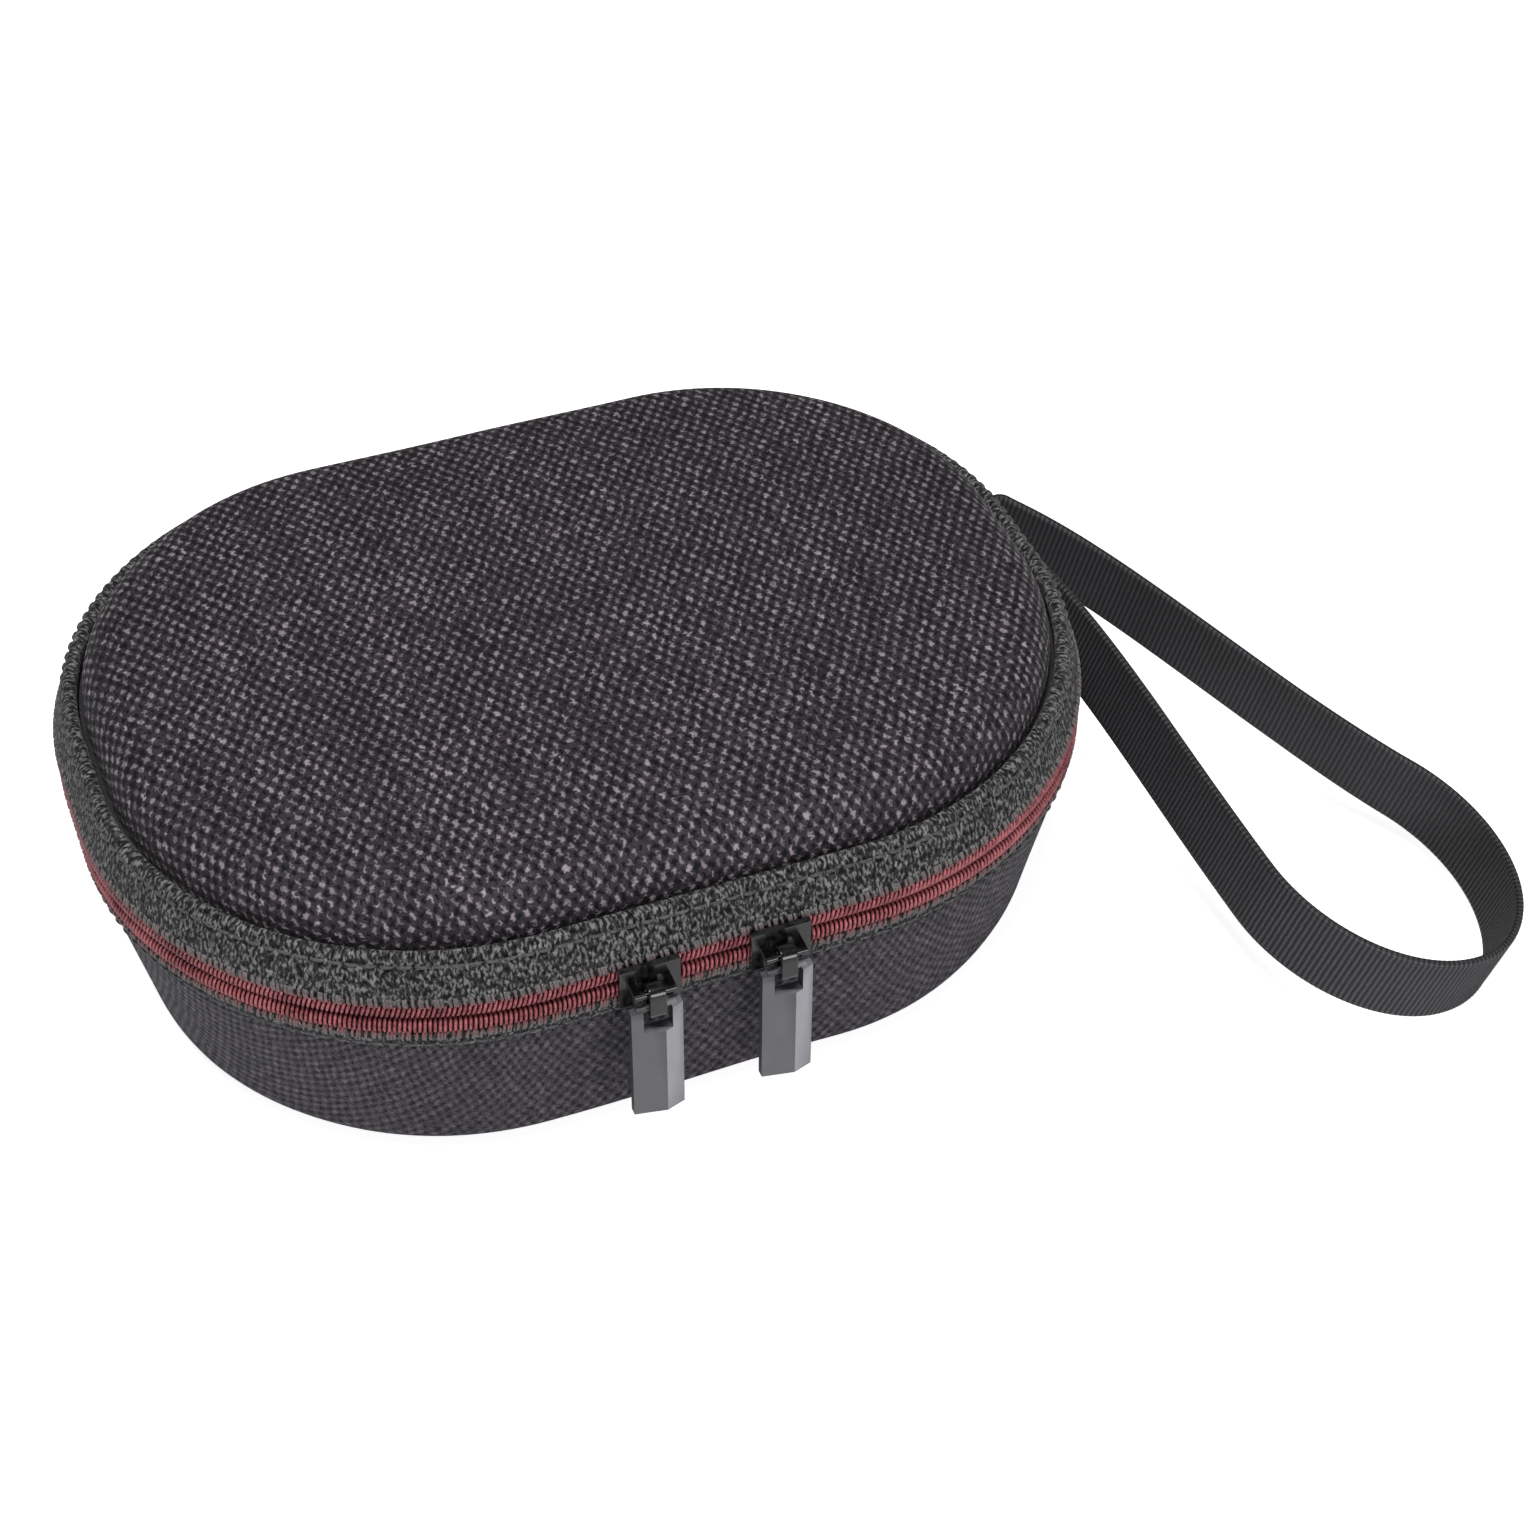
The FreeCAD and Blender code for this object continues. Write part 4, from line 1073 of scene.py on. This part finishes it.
def make_strap():
    """The loop of grosgrain webbing, ribbed across, with firm edges."""
    line, width = strap_line()
    path = np.concatenate([[0], np.cumsum(np.linalg.norm(np.diff(line, axis=0), axis=1))])
    places = np.arange(0, path[-1], RIB_PITCH / RIB_STEPS)
    line, width = (np.stack([np.interp(places, path, axis) for axis in values.T], -1)
                   for values in (line, width))
    out = unit(np.cross(unit(np.gradient(line, axis=0)), width))
    inwards, gauge, ribbed = np.array(WEBBING_HALF + WEBBING_HALF[-2::-1]).T
    across = inwards - STRAP_WIDTH / 2
    across[len(WEBBING_HALF):] *= -1
    ripple = RIB_RISE * np.sin(places * 2 * pi / RIB_PITCH)
    raised = STRAP_GAUGE / 2 * gauge + ribbed * ripple[:, None]
    flat = line[:, None] + width[:, None] * across[None, :, None]
    upper, lower = (flat + sign * out[:, None] * raised[..., None] for sign in (1, -1))
    ring = np.concatenate([upper, lower[:, ::-1]], 1)
    columns, rows = ring.shape[:2]
    faces, corners = grid_faces(columns, rows, wrap_columns=True)
    v = np.concatenate([across, across[::-1] + 2 * STRAP_WIDTH, across[:1]])
    uvs = np.stack([places[corners[..., 0]], v[corners[..., 1]]], -1).reshape(-1, 2)
    end_uvs = np.stack([np.zeros(2 * rows), np.concatenate([v[:rows], v[:rows][::-1]])], -1)
    strap = make_piece("wrist_strap_webbing", ring, faces + end_caps(columns, rows),
                       np.concatenate([uvs, end_uvs]))
    finish_piece(strap, None, "webbing", "wrist_strap")
    ahead = strap_frame()[:, 0]
    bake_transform(strap)


def make_anchor():
    """The sewn end of the webbing on the side wall."""
    low, high = node_box("strap_anchor")
    y = np.arange(low[1] - ANCHOR_MARGIN, high[1] + 0.01, RIB_PITCH / RIB_STEPS)
    z = np.linspace(low[2] - ANCHOR_DROP, high[2] - ANCHOR_TOP_GAP, 13)
    grid_y, grid_z = np.meshgrid(y, z, indexing="ij")
    edge = np.minimum.reduce([grid_z - z[0], z[-1] - grid_z, grid_y - y[0], y[-1] - grid_y])
    round_off = 0.5 * np.exp(-edge / 0.4)
    ripple = RIB_RISE * np.sin(grid_y * 2 * pi / RIB_PITCH)
    away = np.clip(1 - (grid_y - y[0]) / ANCHOR_LIFT_RUN, 0, 1)
    outer = wall_patch(grid_y, grid_z, round_off - ripple - ANCHOR_GAUGE - 1.2 * away ** 2)
    inner = wall_patch(grid_y, grid_z, 0.1 - away ** 2)
    patch = closed_sheet("strap_anchor_webbing", outer, inner, grid_y, grid_z)
    finish_piece(patch, "base", "webbing", "strap_anchor")


def make_box_stitches():
    """The stitches through the anchor: a box and its diagonals."""
    low, high = node_box("strap_stitching")
    top = high[2] - BOX_TOP_GAP
    corners = np.array([(low[1], low[2]), (high[1], low[2]), (high[1], top), (low[1], top)])
    parts = []
    for first, second in ((0, 1), (1, 2), (2, 3), (3, 0), (0, 2), (1, 3)):
        start, run = corners[first], corners[second] - corners[first]
        count = max(2, int(np.linalg.norm(run) / BOX_STITCH))
        for k in range(count):
            spots = [start + run * (k + share) / count for share in (0.08, 0.5, 0.92)]
            begin, middle, end = [wall_patch(*spot, -BOX_STITCH_PROUD) for spot in spots]
            along = unit(end - begin)
            out = np.array([1.0, 0.0, -BASE_SLOPE])
            out = unit(out - along * (out @ along))
            parts.append(bead(middle, along, out, np.linalg.norm(end - begin), BOX_STITCH_RADIUS))
    stitches = make_piece("strap_box_stitches", *gather(parts))
    finish_piece(stitches, "base", "thread", "strap_stitching")


# ---- nodes carried over from the frame

def dress_node(name, finish, bevel=0.0):
    """Give a frame node its finish and, with modifiers only, softly rounded edges."""
    node = frame["nodes"][name]
    node.data.materials.clear()
    node.data.materials.append(FINISHES[finish])
    if bevel:
        weld = node.modifiers.new("weld", "WELD")
        weld.merge_threshold = 0.002 * MM
        rounder = node.modifiers.new("rounded_edges", "BEVEL")
        rounder.width, rounder.segments = bevel * MM, 3
        rounder.limit_method, rounder.angle_limit = "ANGLE", radians(25)
        node.modifiers.new("even_normals", "WEIGHTED_NORMAL")


def dress_frame_nodes():
    """The sliders, links, tabs, end stops and the base's foam."""
    for side in ("left", "right"):
        dress_node(f"{side}_slider", "metal", 0.3)
        dress_node(f"{side}_pull_link", "metal", 0.25)
        dress_node(f"{side}_pull_tab", "tab", 0.28)
    for row in ("lower", "upper"):
        dress_node(f"{row}_end_stops", "metal", 0.3)
    dress_node("base_shell", "foam")


# ---- stage, light and camera

CAMERA_ANGLES = (-22.072, 43.264, 0.598)
CAMERA_DISTANCE = 550.3
CAMERA_LENS = 68.56
AIM_RIGHT = 35.96
AIM_UP = -13.33
FLOOR_HALF = 20000.0
FLOOR_GLOW = 0.86
FILL_STRENGTH = 0.09
LIGHT_AIM = (0, 0, 0.04)


def make_camera():
    """The photograph's view: azimuth, elevation and roll in degrees, seen from the zip's middle."""
    a, e, r = map(radians, CAMERA_ANGLES)
    back = Vector((sin(a) * cos(e), -cos(a) * cos(e), sin(e)))
    level = Vector((cos(a), sin(a), 0))
    upright = back.cross(level)
    right = level * cos(r) + upright * sin(r)
    up = upright * cos(r) - level * sin(r)
    place = Vector((0, 0, ZIP_Z)) + back * CAMERA_DISTANCE + right * AIM_RIGHT + up * AIM_UP
    data = bpy.data.cameras.new("camera")
    data.lens, data.clip_start, data.clip_end = CAMERA_LENS, 0.01, 20.0
    camera = add_object("camera", data)
    camera.matrix_world = Matrix.Translation(place * MM) @ Matrix((right, up, back)).transposed().to_4x4()
    bpy.context.scene.camera = camera


def make_floor():
    """A pale floor that glows where the camera sees it, so it stays even up to the horizon."""
    corners = [(x * FLOOR_HALF, y * FLOOR_HALF, 0) for x, y in ((-1, -1), (1, -1), (1, 1), (-1, 1))]
    floor = make_piece("floor", corners, [[0, 1, 2, 3]], smooth=False)
    look = Finish("studio_floor", roughness=0.9, specular=0.1)
    look.paint((236, 236, 238))
    look.put("Emission Color", (255, 255, 255))
    look.put("Emission Strength", look.times(look.seen(), FLOOR_GLOW))
    floor.data.materials.append(look.material)


def add_light(name, place, size, power, only=()):
    """A round soft light. One that is only for some objects lights nothing else, as a snoot would."""
    data = bpy.data.lights.new(name, "AREA")
    data.shape, data.size, data.energy = "DISK", size, power
    lamp = add_object(name, data)
    lamp.location = Vector(place)
    lamp.rotation_mode = "QUATERNION"
    lamp.rotation_quaternion = (Vector(place) - Vector(LIGHT_AIM)).to_track_quat("Z", "Y")
    if only:
        lit = bpy.data.collections.new("lit_by_" + name)
        for thing in only:
            lit.objects.link(thing)
        lamp.light_linking.receiver_collection = lit


def make_light():
    """Soft studio light: a faint even fill, two large lights and two small ones for the trim."""
    world = bpy.data.worlds.new("studio")
    bpy.context.scene.world = world
    sky = Shading(world, "Background")
    sky.put("Color", (255, 255, 255))
    sky.put("Strength", sky.stretch(sky.seen(), FILL_STRENGTH, 1.0, 0.5))
    add_light("overhead", (-0.2, -0.3, 1.4), 0.5, 17)
    add_light("front", (0.35, -1.35, 0.55), 0.6, 5.5)
    tabs = [frame["nodes"][f"{side}_pull_tab"] for side in ("left", "right")]
    add_light("tab_kicker", (1.25, -0.45, 0.3), 0.3, 95, tabs)
    add_light("strap_kicker", (0.25, -1.3, 0.3), 0.4, 12, [bpy.data.objects["wrist_strap_webbing"]])
    bpy.context.scene.view_settings.view_transform = "Standard"


make_skins()
make_lid_foam()
make_tapes()
for side in ("lower", "upper"):
    make_coil(side)
for side in ("base", "lid"):
    make_seam(side)
    make_binding(side)
make_hinge()
make_pocket()
make_strap()
make_anchor()
make_box_stitches()
dress_frame_nodes()
make_camera()
make_floor()
make_light()
